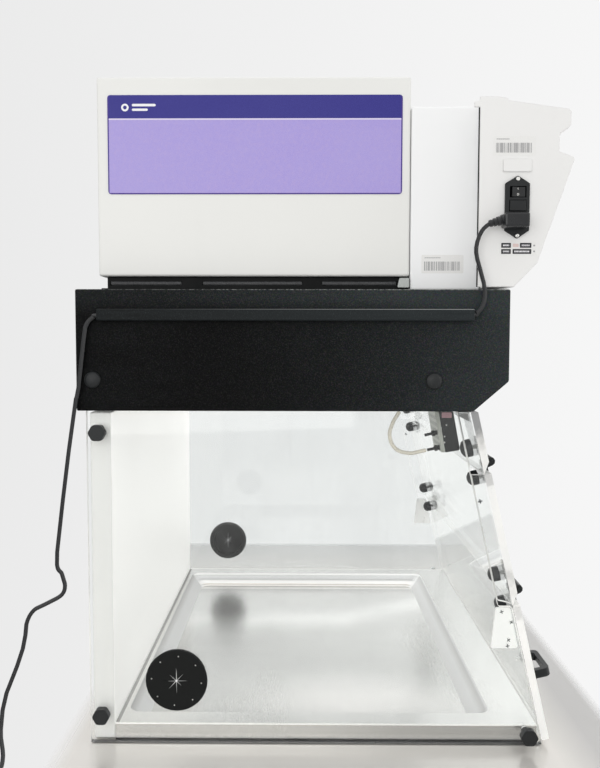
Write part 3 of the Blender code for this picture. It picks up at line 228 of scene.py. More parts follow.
def enamel(name, rgb, rough, peel=0.00004, dust=0.25, glow=0.0, ahead_only=False):
    """Sprayed paint on sheet metal: orange peel, faint mottling, handling marks, thin edges.

    Its emission is painted light: it brightens all of the part, or with ahead_only just the faces that
    look to the front, weaker low down.
    """
    t = Tree(name)
    c = t.coords()
    broad = t.noise(c, 3.0, 3.0, 0.55)
    fine = t.noise(c, 900.0, 1.0, 0.5)
    smudge = t.noise(t.coords((1.0, 1.0, 0.35)), 16.0, 5.0, 0.65, 0.6)
    colour = t.mix(t.fit(broad, 0.35, 0.68), shade(rgb, 0.975), shade(rgb, 1.01))
    colour = t.mix(t.fit(smudge, 0.60, 0.78, 0.0, dust), colour, shade(rgb, 0.92))
    edge_tint = t.times(t.edges(0.0012), t.fit(t.noise(c, 60.0, 4.0, 0.7), 0.45, 0.7), 0.30)
    colour = t.mix(edge_tint, colour, shade(rgb, 0.80))
    roughness = t.fit(t.total(t.times(broad, 0.5), t.times(smudge, 0.5)),
                      0.3, 0.75, rough - 0.06, rough + 0.10)
    relief = t.total(t.noise(c, 260.0, 1.0, 0.4), t.times(fine, 0.35))
    # Painted light: an emission that makes the part brighter than the lamps do.
    lit = glow
    if ahead_only:
        lit = t.times(t.fit(t.turned()[1], -0.5, -0.9, 0.0, glow),
                      t.fit(t.axes()[2], 0.05, 0.40, 0.6, 1.0))
    t.surface(Base_Color=colour, Roughness=roughness, Specular_IOR_Level=0.35,
              Emission_Color=(1.0, 0.985, 0.955), Emission_Strength=lit,
              Normal=t.bump(relief, peel, 1.0, t.rounded(0.0016)))
    return t.mat


def powder_black(name):
    """Textured black powder coat: a fine relief with random dust and painted light: lighter towards
    the front and along a band near the top, glints painted on its grains, and pale painted speckle
    over the top as a highlight."""
    t = Tree(name)
    c = t.coords()
    _, y, z = t.axes()
    grains = t.cells(c, 900.0)["Color"]
    soft = t.noise(c, 900.0, 2.0, 0.6)
    dusty = t.noise(t.coords((1.0, 1.0, 2.2)), 5.0, 6.0, 0.7, 0.4)
    # Painted light: lighter towards the front and along a band near the top, with random dust mixed in.
    ahead = t.fit(y, 0.22, -0.27)
    painted_light_and_dust = t.total(t.times(t.calc("POWER", ahead, 2.4), 0.95),
                   t.times(t.fit(z, 0.600, 0.625), t.fit(ahead, 0.0, 0.8, 0.22, 0.70)),
                   t.fit(dusty, 0.50, 0.80, 0.0, 0.14))
    colour = t.mix(painted_light_and_dust, (0.0008, 0.0010, 0.0011), (0.031, 0.037, 0.039))
    # Painted highlights: random grains glinting, more where the painted light is stronger.
    painted_glint = t.times(t.calc("POWER", t.axes(grains)[0], 3.0), t.total(painted_light_and_dust, 0.22))
    colour = t.mix(painted_glint, colour, (0.040, 0.047, 0.049))
    colour = t.mix(0.30, colour, grains, "SOFT_LIGHT")
    # Pale edges: partly wear, partly a painted highlight.
    edge_tint = t.times(t.edges(0.0014), t.fit(t.noise(c, 85.0, 4.0, 0.7), 0.40, 0.66), 0.6)
    colour = t.mix(edge_tint, colour, srgb(92, 96, 96))
    # Painted highlight: pale speckle over the top face, stronger towards the front.
    painted_top_highlight = t.times(t.above(z, CASING_TOP * MM), t.fit(y, 0.26, -0.05, 0.25, 0.85),
                     t.fit(t.noise(c, 240.0, 2.0, 0.6), 0.42, 0.60))
    colour = t.mix(painted_top_highlight, colour, srgb(150, 152, 150))
    t.surface(Base_Color=colour, Roughness=t.fit(soft, 0.3, 0.7, 0.62, 0.48),
              Specular_IOR_Level=0.07, Normal=t.bump(soft, 0.00012, 0.8, t.rounded(0.0015)))
    return t.mat


def channel_black(name):
    """Satin black channel cover: smoother than the casing, painted lighter towards the front, with a
    thin painted highlight along its upper corner.
    """
    t = Tree(name)
    _, y, z = t.axes()
    fine = t.noise(t.coords(), 700.0, 2.0, 0.6)
    streak = t.noise(t.coords((1.0, 0.05, 1.0)), 300.0, 2.0, 0.5)
    # Painted light: lighter towards the front.
    colour = t.mix(t.fit(y, 0.25, -0.20), srgb(17, 20, 21), srgb(44, 49, 51))
    colour = t.mix(t.fit(streak, 0.35, 0.7, 0.0, 0.5), colour, srgb(30, 34, 36))
    colour = t.mix(t.fit(fine, 0.55, 0.75, 0.0, 0.5), colour, srgb(70, 76, 78))
    # Painted highlight along the upper corner, stronger towards the front.
    corner = t.times(t.above(z, CHANNEL_TOP * MM), t.fit(y, 0.22, -0.18, 0.06, 1.0))
    colour = t.mix(corner, colour, srgb(146, 148, 148))
    t.surface(Base_Color=colour, Roughness=t.fit(fine, 0.3, 0.7, 0.40, 0.52),
              Specular_IOR_Level=0.10, Normal=t.bump(fine, 0.00006, 0.8, t.rounded(0.0012)))
    return t.mat


def moulded(name, rgb, rough, grain=900.0, depth=0.00005, wear=0.25, gloss=0.35):
    """Injection-moulded plastic or rubber: fine spark-eroded grain, a little greasy sheen."""
    t = Tree(name)
    c = t.coords()
    fine = t.noise(c, grain, 2.0, 0.55)
    broad = t.noise(c, 22.0, 3.0, 0.6)
    colour = t.mix(t.fit(broad, 0.35, 0.7), shade(rgb, 0.88), shade(rgb, 1.14))
    colour = t.mix(t.times(t.edges(0.0008), wear), colour, shade(rgb, 2.4))
    t.surface(Base_Color=colour, Roughness=t.fit(broad, 0.3, 0.7, rough - 0.07, rough + 0.09),
              Specular_IOR_Level=gloss, Normal=t.bump(fine, depth, 1.0, t.rounded(0.0007)))
    return t.mat


def brushed(name, rgb, rough, along="X", scratch=0.00001):
    """Satin metal with its grain along one axis, light scratches and wiped smears."""
    t = Tree(name)
    stretch = {"X": (0.02, 1.0, 1.0), "Y": (1.0, 0.02, 1.0), "Z": (1.0, 1.0, 0.02)}[along]
    lines = t.noise(t.coords(stretch), 2200.0, 2.0, 0.6)
    longer = t.noise(t.coords(tuple(v * 0.4 if v < 0.5 else v for v in stretch)), 420.0, 2.0, 0.5)
    smear = t.noise(t.coords((1.0, 0.6, 1.0)), 4.5, 4.0, 0.55, 0.9)
    wave = t.noise(t.coords((0.7, 1.0, 1.0)), 3.2, 1.0, 0.4, 0.3)
    colour = t.mix(t.fit(lines, 0.3, 0.7), shade(rgb, 0.95), shade(rgb, 1.03))
    colour = t.mix(t.fit(smear, 0.45, 0.75, 0.0, 0.30), colour, shade(rgb, 0.90))
    roughness = t.total(t.fit(lines, 0.25, 0.75, -0.03, 0.03),
                        t.fit(smear, 0.3, 0.75, rough - 0.04, rough + 0.08))
    sheet = t.bump(wave, 0.0022, 1.0, t.rounded(0.0012, 6))
    t.surface(Base_Color=colour, Metallic=1.0, Roughness=roughness,
              Normal=t.bump(t.total(lines, t.times(longer, 0.6)), scratch, 1.0, sheet))
    return t.mat


def trough_floor(t, x, y, smear):
    """Grey of the trough's floor and, apart, its bright pool. The grey is painted light and reflection:
    lighter towards the front, a sheen that curves across, the pool, a dim middle, and a shade line and
    a highlight line where the far wall meets it, over random wiped smears."""
    wisp = t.noise(t.coords((2.2, 0.7, 1.0), (0.0, 0.0, 0.2)), 6.0, 2.0, 0.5, 0.6)
    sway = t.total(x, t.fit(smear, 0.3, 0.7, -0.02, 0.02))
    # Painted reflections: a curved sheen, a bright pool and a dim middle.
    crest = t.total(t.times(t.fit(y, -0.06, -0.26), 0.14), 0.105)
    sheen = t.times(t.bell(sway, crest, 0.045), t.fit(y, 0.22, 0.04, 0.1, 0.17))
    pool = t.times(t.bell(sway, -0.265, 0.075), t.bell(y, -0.06, 0.15))
    dim = t.times(t.bell(sway, -0.06, 0.11), t.fit(y, -0.12, 0.12, 0.0, -0.06))
    # Painted light: lighter towards the front, with a painted shade line and a painted highlight line at
    # the far wall's foot.
    tone = t.total(t.fit(y, 0.10, -0.22, 0.575, 0.645), t.times(pool, 0.22), sheen, dim,
                   t.fit(smear, 0.35, 0.65, -0.025, 0.025), t.fit(wisp, 0.35, 0.65, -0.012, 0.012),
                   t.times(t.bell(x, FOLD_DARK * MM, 0.0035), -0.16),
                   t.times(t.bell(x, FOLD_LIGHT * MM, 0.0035), 0.26))
    return tone, pool


def trough_ledge(t, x, y):
    """Grey of the flat border round the trough: painted lighter to the left and at the front, with a
    painted shadow strip against the back.
    """
    return t.total(t.fit(x, 0.38, -0.30, 0.54, 0.80), t.fit(y, -0.235, -0.27, 0.0, 0.06),
                   t.times(t.above(y, 0.2895), -0.42))


def trough_walls(t, z, facing, ends):
    """Colours up the drawn walls: thin reflected lines on the side walls, softer light at the ends.

    Stops are (place up the wall, brightness, warmth)."""
    def ramp(*stops):
        n = t.node("ShaderNodeValToRGB", Fac=t.fit(z, PAN_FLOOR * MM, PAN_TOP * MM))
        bar = n.color_ramp.elements
        while len(bar) < len(stops):
            bar.new(0.5)
        for point, (where, level, warm) in zip(bar, stops):
            point.position = where
            point.color = (level, level * (1.0 - 0.5 * warm), level * (1.0 - warm), 1.0)
        return n.outputs[0]
    sides = ramp((0.0, 0.86, 0.07), (0.04, 0.92, 0.07), (0.10, 0.52, 0.10), (0.14, 0.56, 0.09),
                 (0.19, 0.80, 0.06), (0.26, 0.97, 0.04), (0.34, 0.84, 0.03), (0.41, 0.74, 0.02),
                 (0.47, 0.50, 0.01), (0.53, 0.48, 0.0), (0.60, 0.58, 0.0), (0.74, 0.62, -0.01),
                 (0.85, 0.58, 0.0), (0.90, 0.88, 0.02), (0.95, 0.84, 0.02), (1.0, 0.60, 0.0))
    front = ramp((0.0, 0.76, 0.0), (0.50, 0.82, 0.0), (0.72, 0.72, 0.01), (0.86, 0.64, 0.01),
                 (0.96, 0.80, 0.0), (1.0, 0.96, 0.0))
    rear = ramp((0.0, 0.64, 0.0), (0.60, 0.62, 0.0), (0.86, 0.48, 0.02), (0.97, 0.42, 0.02),
                (1.0, 0.60, 0.0))
    return t.mix(ends, sides, t.mix(t.above(facing, 0.0), rear, front))


def pressed_tray(name):
    """Satin stainless pan: a floor with painted light and reflections, drawn walls, a painted
    highlight along the folded rim, a turned-down lip whose foot is painted dark as the shadow
    line under its fold, and painted light on the far wall, the end walls, the rim and the lower lip."""
    t = Tree(name)
    x, y, z = t.axes()
    turned = t.turned()
    lines = t.noise(t.coords((0.02, 1.0, 1.0)), 2200.0, 2.0, 0.6)
    grain = t.noise(t.coords(), 900.0, 2.0, 0.6)
    smear = t.noise(t.coords((0.75, 1.5, 1.0), (0.0, 0.0, 0.35)), 2.6, 1.0, 0.4, 1.0)
    tone, pool = trough_floor(t, x, y, smear)
    border = t.fit(z, 0.0240, 0.0245)
    tone = t.total(t.times(tone, t.rest(border)), t.times(trough_ledge(t, x, y), border),
                   t.fit(lines, 0.3, 0.7, -0.018, 0.018))
    grey = t.node("ShaderNodeCombineColor", Red=tone, Green=t.times(tone, 0.998),
                  Blue=t.times(tone, 0.985)).outputs[0]
    # Painted reflection: a warm tint over the bright pool.
    base = t.mix(t.times(pool, 0.5), grey, (0.88, 0.845, 0.83))
    wall = t.within(turned[2], 0.15, 0.96)
    ends = t.fit(t.size(turned[1]), 0.25, 0.6)
    rim = t.times(t.above(t.size(x), (PAN_HALF - 2.2) * MM), t.above(z, (PAN_TOP - 1.5) * MM))
    lip = t.above(t.size(turned[0]), 0.9)
    # Painted shadow: the lowest few millimetres of the lip go dark.
    clear_of_hem_shadow = t.fit(z, 0.0028, 0.0042)
    base = t.mix(lip, base, t.mix(clear_of_hem_shadow, (0.02, 0.02, 0.02), (0.625, 0.61, 0.595)))
    base = t.mix(wall, base, trough_walls(t, z, turned[1], ends))
    # Painted highlight along the folded rim.
    base = t.mix(rim, base, (0.99, 0.975, 0.95))
    # Painted light: emission on the far wall, the rim, the end walls and the lower lip.
    far = t.times(wall, t.below(turned[0], -0.25), t.above(x, 0.0))
    lit = t.most(t.times(far, 0.55), t.times(rim, 0.18), t.times(wall, ends, 0.22),
                 t.times(lip, clear_of_hem_shadow, t.fit(z, 0.012, 0.0, 0.0, 0.30)))
    rough = t.total(t.fit(lines, 0.25, 0.75, -0.03, 0.03), t.fit(smear, 0.3, 0.75, 0.20, 0.29),
                    t.times(wall, 0.30))
    wave = t.noise(t.coords((0.7, 1.0, 1.0)), 3.2, 1.0, 0.4, 0.3)
    sheet = t.bump(wave, 0.0012, 1.0, t.rounded(0.0015, 6))
    t.surface(Base_Color=base, Metallic=t.fit(t.most(wall, rim), 0.0, 1.0, 1.0, 0.25),
              Roughness=rough, Emission_Color=base, Emission_Strength=lit,
              Normal=t.bump(t.total(lines, t.times(grain, 0.6)), 0.00001, 1.0, sheet))
    return t.mat


def clear_face(t, x):
    """See-through sheet with a glancing-angle reflection under a thin, dusty haze."""
    haze = t.noise(t.coords((1.0, 1.0, 0.5)), 9.0, 5.0, 0.65, 0.8)
    streak = t.noise(t.coords((1.0, 1.0, 0.06)), 60.0, 2.0, 0.5)
    facing = t.node("ShaderNodeLayerWeight", Blend=0.5).outputs["Facing"]
    mirror = t.total(t.times(t.calc("POWER", facing, 5.0), 0.90), 0.028)
    clear = t.node("ShaderNodeBsdfTransparent", Color=(0.985, 0.992, 0.990)).outputs[0]
    gloss = t.node("ShaderNodeBsdfGlossy", Color=(1.0, 1.0, 1.0),
                   Roughness=t.fit(haze, 0.3, 0.7, 0.015, 0.06)).outputs[0]
    film = t.node("ShaderNodeBsdfDiffuse", Color=(0.93, 0.94, 0.94)).outputs[0]
    dusty = t.total(t.fit(haze, 0.45, 0.8, 0.008, 0.05), t.fit(streak, 0.62, 0.8, 0.0, 0.03),
                    t.fit(x, 0.30, 0.392, 0.0, 0.016))
    return t.blend(dusty, t.blend(mirror, clear, gloss), film)


def sawn_edge(t, position, height, under, patches):
    """Milky edge that gathers light, with painted dark patches for the fittings behind it, painted shade
    underneath and a painted glow, stronger low down.
    """
    tone = t.mix(t.fit(t.noise(t.coords((1.0, 1.0, 0.25)), 40.0, 3.0), 0.35, 0.7),
                 (0.98, 0.975, 0.95), (0.90, 0.915, 0.91))
    # Painted: dark patches standing for the fittings seen through the edge.
    for middle, half, strength in patches:
        near = t.total(t.size(t.calc("SUBTRACT", height, middle * MM)),
                       t.fit(t.noise(position, 130.0, 2.0), 0.3, 0.7, -0.005, 0.005))
        tone = t.mix(t.fit(near, half * MM * 0.4, half * MM, strength, 0.0), tone,
                     (0.13, 0.135, 0.145))
    # Painted shade on the underside.
    tone = t.mix(under, tone, (0.02, 0.021, 0.023))
    # Painted light: emission, stronger below about 0.21 m, none underneath.
    glow = t.times(t.fit(height, 0.215, 0.205, 0.03, 0.12), t.rest(under))
    return t.node("ShaderNodeBsdfPrincipled", Base_Color=tone,
                  Roughness=t.fit(t.noise(position, 300.0, 3.0), 0.3, 0.7, 0.25, 0.5),
                  Transmission_Weight=0.15, IOR=1.49, Specular_IOR_Level=0.4,
                  Emission_Color=(1.0, 0.985, 0.95), Emission_Strength=glow).outputs[0]


def acrylic(name, edge_mask, patches=()):
    """Clear sheet with milky sawn edges, paler on the near side.

    edge_mask(tree, position, normal) gives 1 on the sheet's sawn edges. patches are heights in
    millimetres, (middle, half height, strength), where dark fittings behind an edge are painted onto it.
    """
    t = Tree(name)
    coordinates = t.node("ShaderNodeTexCoord").outputs
    position, normal = coordinates["Object"], coordinates["Normal"]
    x, _, height = t.axes(position)
    # Mask for the painted shade under the sheet's lowest faces.
    under = t.times(t.above(t.size(t.axes(normal)[2]), 0.5), t.below(height, 0.006))
    shown = t.times(edge_mask(t, position, normal), t.fit(x, -0.30, 0.10, 1.0, 0.30))
    t.show(t.blend(shown, clear_face(t, x), sawn_edge(t, position, height, under, patches)))
    return t.mat


def side_edge(t, position, normal):
    """Edges of the side panels: every face that doesn't look along X."""
    return t.below(t.size(t.axes(normal)[0]), 0.5)


def front_edge(t, position, normal):
    """Sawn edges of the sloping front and its returns."""
    lean = math.atan(SLOPE)
    out = Vector((0.0, -math.cos(lean), math.sin(lean)))
    deep = t.calc("SUBTRACT", place(0.0, FOOT, FOOT_Z).dot(out), t.dot(position, out))
    thick = SHEET * math.cos(lean) * MM
    sideways = t.above(t.size(t.axes(normal)[0]), 0.5)
    end = t.times(sideways, t.below(deep, thick))
    cross = t.times(t.rest(sideways), t.below(t.size(t.dot(normal, out)), 0.5))
    rear = t.times(t.rest(sideways), t.above(deep, thick + 0.0015))
    return t.most(end, cross, rear)


def granular(name):
    """Loose pellets of activated carbon."""
    t = Tree(name)
    c = t.coords()
    pellets = t.cells(c, 420.0)["Distance"]
    colour = t.mix(t.fit(t.noise(c, 300.0, 2.0), 0.3, 0.7), srgb(14, 14, 15), srgb(48, 48, 50))
    t.surface(Base_Color=colour, Roughness=0.78, Normal=t.bump(t.rest(pellets), 0.0016))
    return t.mat


def foam(name):
    """Closed-cell sealing strip."""
    t = Tree(name)
    cells = t.cells(t.coords(), 900.0)["Distance"]
    colour = t.mix(t.fit(cells, 0.1, 0.7), srgb(58, 59, 61), srgb(92, 93, 95))
    t.surface(Base_Color=colour, Roughness=0.92, Normal=t.bump(cells, 0.0003))
    return t.mat


def laminate(name):
    """Circuit board seen on its edge and solder side: grey-green laminate with pale tracks."""
    t = Tree(name)
    c = t.coords()
    weave = t.node("ShaderNodeTexWave", {"wave_type": "BANDS"}, Vector=c, Scale=260.0,
                   Distortion=1.0).outputs["Fac"]
    tracks = t.node("ShaderNodeTexBrick", Vector=c, Scale=140.0, Mortar_Size=0.06,
                    Color1=srgb(150, 154, 146), Color2=srgb(176, 180, 172),
                    Mortar=srgb(206, 208, 200)).outputs["Color"]
    colour = t.mix(t.fit(weave, 0.3, 0.8, 0.0, 0.25), tracks, srgb(120, 126, 118))
    t.surface(Base_Color=colour, Roughness=0.45, Normal=t.bump(weave, 0.00005))
    return t.mat


def tubing(name):
    """Clear hose gone slightly cream with age: milky, and clearer down its middle."""
    t = Tree(name)
    c = t.coords()
    face = t.node("ShaderNodeLayerWeight", Blend=0.5).outputs["Facing"]
    tone = t.mix(t.fit(t.noise(c, 40.0, 3.0), 0.3, 0.7), (0.86, 0.80, 0.68), (0.93, 0.89, 0.80))
    tone = t.mix(t.fit(face, 0.0, 0.7, 0.25, 0.0), tone, (0.95, 0.94, 0.91))
    skin = t.node("ShaderNodeBsdfPrincipled", Base_Color=tone, Roughness=0.22, IOR=1.42,
                  Transmission_Weight=0.25, Normal=t.bump(t.noise(c, 500.0, 1.0), 0.00003)).outputs[0]
    clear = t.node("ShaderNodeBsdfTransparent", Color=(0.96, 0.93, 0.86)).outputs[0]
    t.show(t.blend(t.fit(face, 0.1, 0.8, 0.45, 0.95), clear, skin))
    return t.mat


def film_print(name, rgb, rough=0.38):
    """Printed plastic film: flat ink with a faint screen grain and handling marks."""
    t = Tree(name)
    c = t.coords()
    screen = t.noise(c, 1800.0, 1.0)
    broad = t.noise(c, 10.0, 4.0, 0.6, 0.5)
    colour = t.mix(t.fit(screen, 0.3, 0.7), shade(rgb, 0.96), shade(rgb, 1.04))
    colour = t.mix(t.fit(broad, 0.5, 0.8, 0.0, 0.22), colour, shade(rgb, 1.16))
    t.surface(Base_Color=colour, Roughness=t.fit(broad, 0.3, 0.7, rough - 0.06, rough + 0.08),
              Normal=t.bump(t.noise(c, 500.0, 2.0), 0.00002))
    return t.mat


def label_film(name):
    """The filter's label: violet band over lavender, a pale rule between, a purple border that is
    chipped here and there."""
    t = Tree(name)
    c = t.coords()
    _, y, z = t.axes()
    middle = (REAR - (LABEL_REAR + LABEL_FRONT) / 2.0) * MM
    half = (LABEL_FRONT - LABEL_REAR) / 2.0 * MM
    aside = t.calc("SUBTRACT", half, t.size(t.calc("SUBTRACT", y, middle)))
    edge = t.calc("MINIMUM", aside, t.calc("SUBTRACT", z, LABEL_LOW * MM))
    screen = t.noise(c, 1500.0, 1.0)
    blotch = t.noise(c, 260.0, 2.0, 0.6)
    broad = t.noise(c, 6.0, 3.0, 0.6, 0.5)
    field = t.mix(t.fit(screen, 0.3, 0.7), srgb(160, 146, 218), srgb(182, 169, 228))
    field = t.mix(t.fit(blotch, 0.45, 0.75, 0.0, 0.5), field, srgb(186, 166, 220))
    field = t.mix(t.fit(broad, 0.4, 0.7, 0.0, 0.25), field, srgb(182, 172, 226))
    band = t.mix(t.fit(screen, 0.3, 0.7), srgb(44, 40, 128), srgb(58, 56, 146))
    colour = t.mix(t.above(z, BAND_LOW * MM), field, band)
    colour = t.mix(t.within(z, RULE_LOW * MM, BAND_LOW * MM), colour, srgb(222, 214, 240))
    colour = t.mix(t.below(edge, 0.0017), colour, srgb(72, 52, 140))
    chip = t.times(t.above(t.noise(c, 120.0, 3.0, 0.7), 0.80), t.below(edge, 0.006))
    colour = t.mix(chip, colour, srgb(232, 228, 238))
    t.surface(Base_Color=colour, Roughness=t.fit(broad, 0.3, 0.7, 0.34, 0.46),
              Specular_IOR_Level=0.3, Normal=t.bump(t.noise(c, 500.0, 2.0), 0.00002))
    return t.mat


def marked_rocker(name):
    """Black rocker with a printed bar and ring, one on each half."""
    t = Tree(name)
    c = t.coords()
    _, y, z = t.axes()
    across = t.calc("SUBTRACT", y, (REAR - ROCKER_D) * MM)
    bar = t.times(t.within(across, -0.0003, 0.0003), t.within(z, (BAR_Z - 1.3) * MM, (BAR_Z + 1.3) * MM))
    up = t.calc("SUBTRACT", z, RING_Z * MM)
    ring = t.within(t.calc("SQRT", t.total(t.times(across, across), t.times(up, up))), 0.0009, 0.0015)
    mark = t.times(t.most(bar, ring), t.below(t.turned()[0], -0.6))
    colour = t.mix(t.fit(t.noise(c, 30.0, 3.0), 0.35, 0.7), srgb(20, 21, 22), srgb(34, 36, 38))
    colour = t.mix(mark, colour, srgb(226, 226, 222))
    t.surface(Base_Color=colour, Roughness=0.34,
              Normal=t.bump(t.noise(c, 1000.0, 2.0), 0.00003, 1.0, t.rounded(0.0008)))
    return t.mat


STAINLESS = pressed_tray("stainless_satin")
WHITE = enamel("white_sheet_enamel", (0.965, 0.96, 0.95), 0.42)
# Painted light: these two glow; the back only on faces that look to the front.
BACK_WHITE_PAINTED_GLOW = enamel("warm_white_back_painted_glow", (0.965, 0.955, 0.94), 0.42, 0.00004, 0.10, 0.42, True)
CATCH_WHITE_PAINTED_GLOW = enamel("white_catch_plate_painted_glow", (0.965, 0.965, 0.955), 0.45, 0.00003, 0.10, 0.17)
SIDE_CLEAR = acrylic("clear_side_sheet", side_edge)
# The patches are painted: dark fittings seen through the front's edges.
FRONT_CLEAR = acrylic("clear_front_sheet", front_edge, ((468.0, 52.0, 0.85), (376.0, 12.0, 0.35),
                                                        (240.0, 12.0, 0.22), (190.0, 12.0, 0.30)))
RUBBER = moulded("rubber_matt", srgb(20, 22, 22), 0.62, 700.0, 0.00008, 0.12, 0.2)
BLACK_COAT = powder_black("black_powder_coat_texture")
CHANNEL = channel_black("black_channel_satin")
SEAT_BLACK = moulded("black_seat_satin", srgb(15, 17, 18), 0.55, 700.0, 0.00005, 0.15, 0.15)
WARM_PAINT = enamel("warm_grey_enamel", (0.855, 0.86, 0.84), 0.44)
HEAD_PAINT = enamel("warm_white_enamel", (0.885, 0.885, 0.88), 0.44, 0.00006)
COOL_PAINT = enamel("cool_white_enamel", (0.965, 0.975, 0.985), 0.42)
ALU = brushed("satin_aluminium", (0.42, 0.44, 0.43), 0.38, "X", 0.00002)
BOARD = laminate("board_laminate")
TUBE = tubing("cream_hose")
FOAM = foam("foam_strip")
CARBON = granular("carbon_granules")
ZINC = brushed("zinc_plate", (0.66, 0.67, 0.68), 0.30, "Z", 0.00002)
NICKEL = brushed("nickel_screw", (0.90, 0.90, 0.88), 0.30, "Y", 0.00001)
PLASTIC = moulded("black_moulding", srgb(24, 27, 29), 0.42, 1000.0, 0.00006, 0.30, 0.4)
CORD = moulded("black_cord_sheath", srgb(20, 22, 26), 0.28, 1300.0, 0.00002, 0.10, 0.6)
SENSOR_BLACK = moulded("black_sensor_case", srgb(16, 20, 20), 0.40, 420.0, 0.0002, 0.55, 0.4)
DARK_PLASTIC = moulded("dark_grey_moulding", srgb(58, 62, 66), 0.46, 1000.0, 0.00004, 0.35)
LABEL = label_film("printed_label_film")
ROCKER = marked_rocker("rocker_moulding")
STICKER = film_print("sticker_white", (0.86, 0.86, 0.85))
INK = film_print("ink_black", srgb(38, 38, 44), 0.5)
# Painted shade for the cross recesses of screws.
RECESS_SHADE = film_print("painted_recess_shade", srgb(84, 90, 92), 0.5)
FAINT_INK = film_print("ink_grey", srgb(158, 158, 160), 0.5)
RED_INK = film_print("ink_pale_red", srgb(228, 206, 202), 0.5)
PINK = film_print("sticker_pinkish", srgb(196, 150, 158))
WHITE_INK = film_print("ink_white", (0.90, 0.90, 0.93), 0.5)
# Painted highlight for the lips of the grommet's star slit.
SLIT_HIGHLIGHT = film_print("painted_slit_highlight", srgb(176, 178, 178), 0.5)

FINISH_OF = {
    "tray": STAINLESS,
    "back_panel": BACK_WHITE_PAINTED_GLOW,
    "side_panel_left": SIDE_CLEAR, "side_panel_right": SIDE_CLEAR,
    "front_panel_upper": FRONT_CLEAR, "flap_middle": FRONT_CLEAR, "flap_lower": FRONT_CLEAR,
    "grommet_left": RUBBER, "grommet_right": RUBBER,
    "power_cord": CORD,
    "casing_shell": BLACK_COAT, "cable_channel": CHANNEL, "filter_seat": SEAT_BLACK,
    "filter_case": WARM_PAINT, "filter_grille": WHITE, "carbon_bed": CARBON,
    "filter_label": LABEL, "filter_clamp": ALU, "front_rail": ZINC,
    "fan_housing": COOL_PAINT, "fan_grille": COOL_PAINT, "fan_impeller": COOL_PAINT,
    "fan_motor": DARK_PLASTIC, "rocker_switch": ROCKER,
    "head_shell": HEAD_PAINT, "head_end_left": HEAD_PAINT, "head_end_right": HEAD_PAINT,
    "blank_plate": HEAD_PAINT,
    "catch_plate_left": CATCH_WHITE_PAINTED_GLOW, "catch_plate_right": CATCH_WHITE_PAINTED_GLOW, "nut_front_low_right": ZINC,
    "sensor_board": BOARD, "sensor_body": SENSOR_BLACK, "sensor_tube": TUBE, "seat_gasket": FOAM,
}
for name, node in NODES.items():
    node.data.materials.clear()
    node.data.materials.append(FINISH_OF.get(name, PLASTIC))


# ---------------------------------------------------------------- small pieces the CAD leaves out
def piece(name, bm, mat, body):
    mesh = bpy.data.meshes.new(name)
    bmesh.ops.recalc_face_normals(bm, faces=bm.faces)
    bm.to_mesh(mesh)
    bm.free()
    obj = bpy.data.objects.new(name, mesh)
    mesh.materials.append(mat)
    bpy.context.scene.collection.objects.link(obj)
    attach(obj, body)
    return obj


def both_sides(x):
    return ("left", -x), ("right", x)


def circle(d, z, radius, steps, start=0.0):
    """Points round a centre on a side face."""
    turns = (math.radians(start + 360.0 * k / steps) for k in range(steps))
    return [(d + radius * math.cos(a), z + radius * math.sin(a)) for a in turns]


def rounded_rect(d0, z0, d1, z1, radius=0.0, steps=3):
    """Corner points of a rectangle on a side face, anticlockwise, with rounded corners."""
    if radius == 0.0:
        return [(d0, z0), (d1, z0), (d1, z1), (d0, z1)]
    points = []
    for cd, cz, start in ((d1 - radius, z0 + radius, -90.0), (d1 - radius, z1 - radius, 0.0),
                          (d0 + radius, z1 - radius, 90.0), (d0 + radius, z0 + radius, 180.0)):
        for k in range(steps + 1):
            a = math.radians(start + 90.0 * k / steps)
            points.append((cd + radius * math.cos(a), cz + radius * math.sin(a)))
    return points


def plates(name, loops, face, thick, mat, body="frame"):
    """Thin plates standing on a face at x, thickened away from the middle of the hood."""
    bm = bmesh.new()
    out = face + math.copysign(thick, face)
    for loop in loops:
        low = [bm.verts.new(place(face, d, z)) for d, z in loop]
        top = [bm.verts.new(place(out, d, z)) for d, z in loop]
        bm.faces.new(low)
        bm.faces.new(list(reversed(top)))
        for i in range(len(loop)):
            j = (i + 1) % len(loop)
            bm.faces.new((low[i], top[i], top[j], low[j]))
    return piece(name, bm, mat, body)


def lathe(bm, spot, out, profile, steps=14):
    """Turned shape at a point, its axis along +-X; profile of (radius, height) from the middle out."""
    rings = []
    for radius, height in profile:
        if radius == 0.0:
            rings.append([bm.verts.new(spot + Vector((out * height * MM, 0.0, 0.0)))])
            continue
        rings.append([bm.verts.new(spot + Vector((out * height * MM, radius * MM * math.cos(a),
                                                  radius * MM * math.sin(a))))
                      for a in (2.0 * math.pi * k / steps for k in range(steps))])
    for a, b in zip(rings, rings[1:]):
        for k in range(steps):
            n = (k + 1) % steps
            if len(a) == 1:
                bm.faces.new((a[0], b[k], b[n]))
            elif len(b) == 1:
                bm.faces.new((a[k], b[0], a[n]))
            else:
                bm.faces.new((a[k], b[k], b[n], a[n]))


def heads(name, spots, radius, height, mat, body="frame", recess=0.0):
    """Domed screw heads, with a round socket if asked: spots of (x, depth, z) on faces along X."""
    middle = [(0.0, height - 0.9), (recess, height - 0.8), (recess, height)]
    dome = [(radius * 0.70, height * 0.88), (radius, height * 0.35), (radius, 0.0), (0.0, 0.0)]
    bm = bmesh.new()
    for x, d, z in spots:
        lathe(bm, place(x, d, z), math.copysign(1.0, x), (middle if recess else [(0.0, height)]) + dome)
    obj = piece(name, bm, mat, body)
    for polygon in obj.data.polygons:
        polygon.use_smooth = True
    return obj


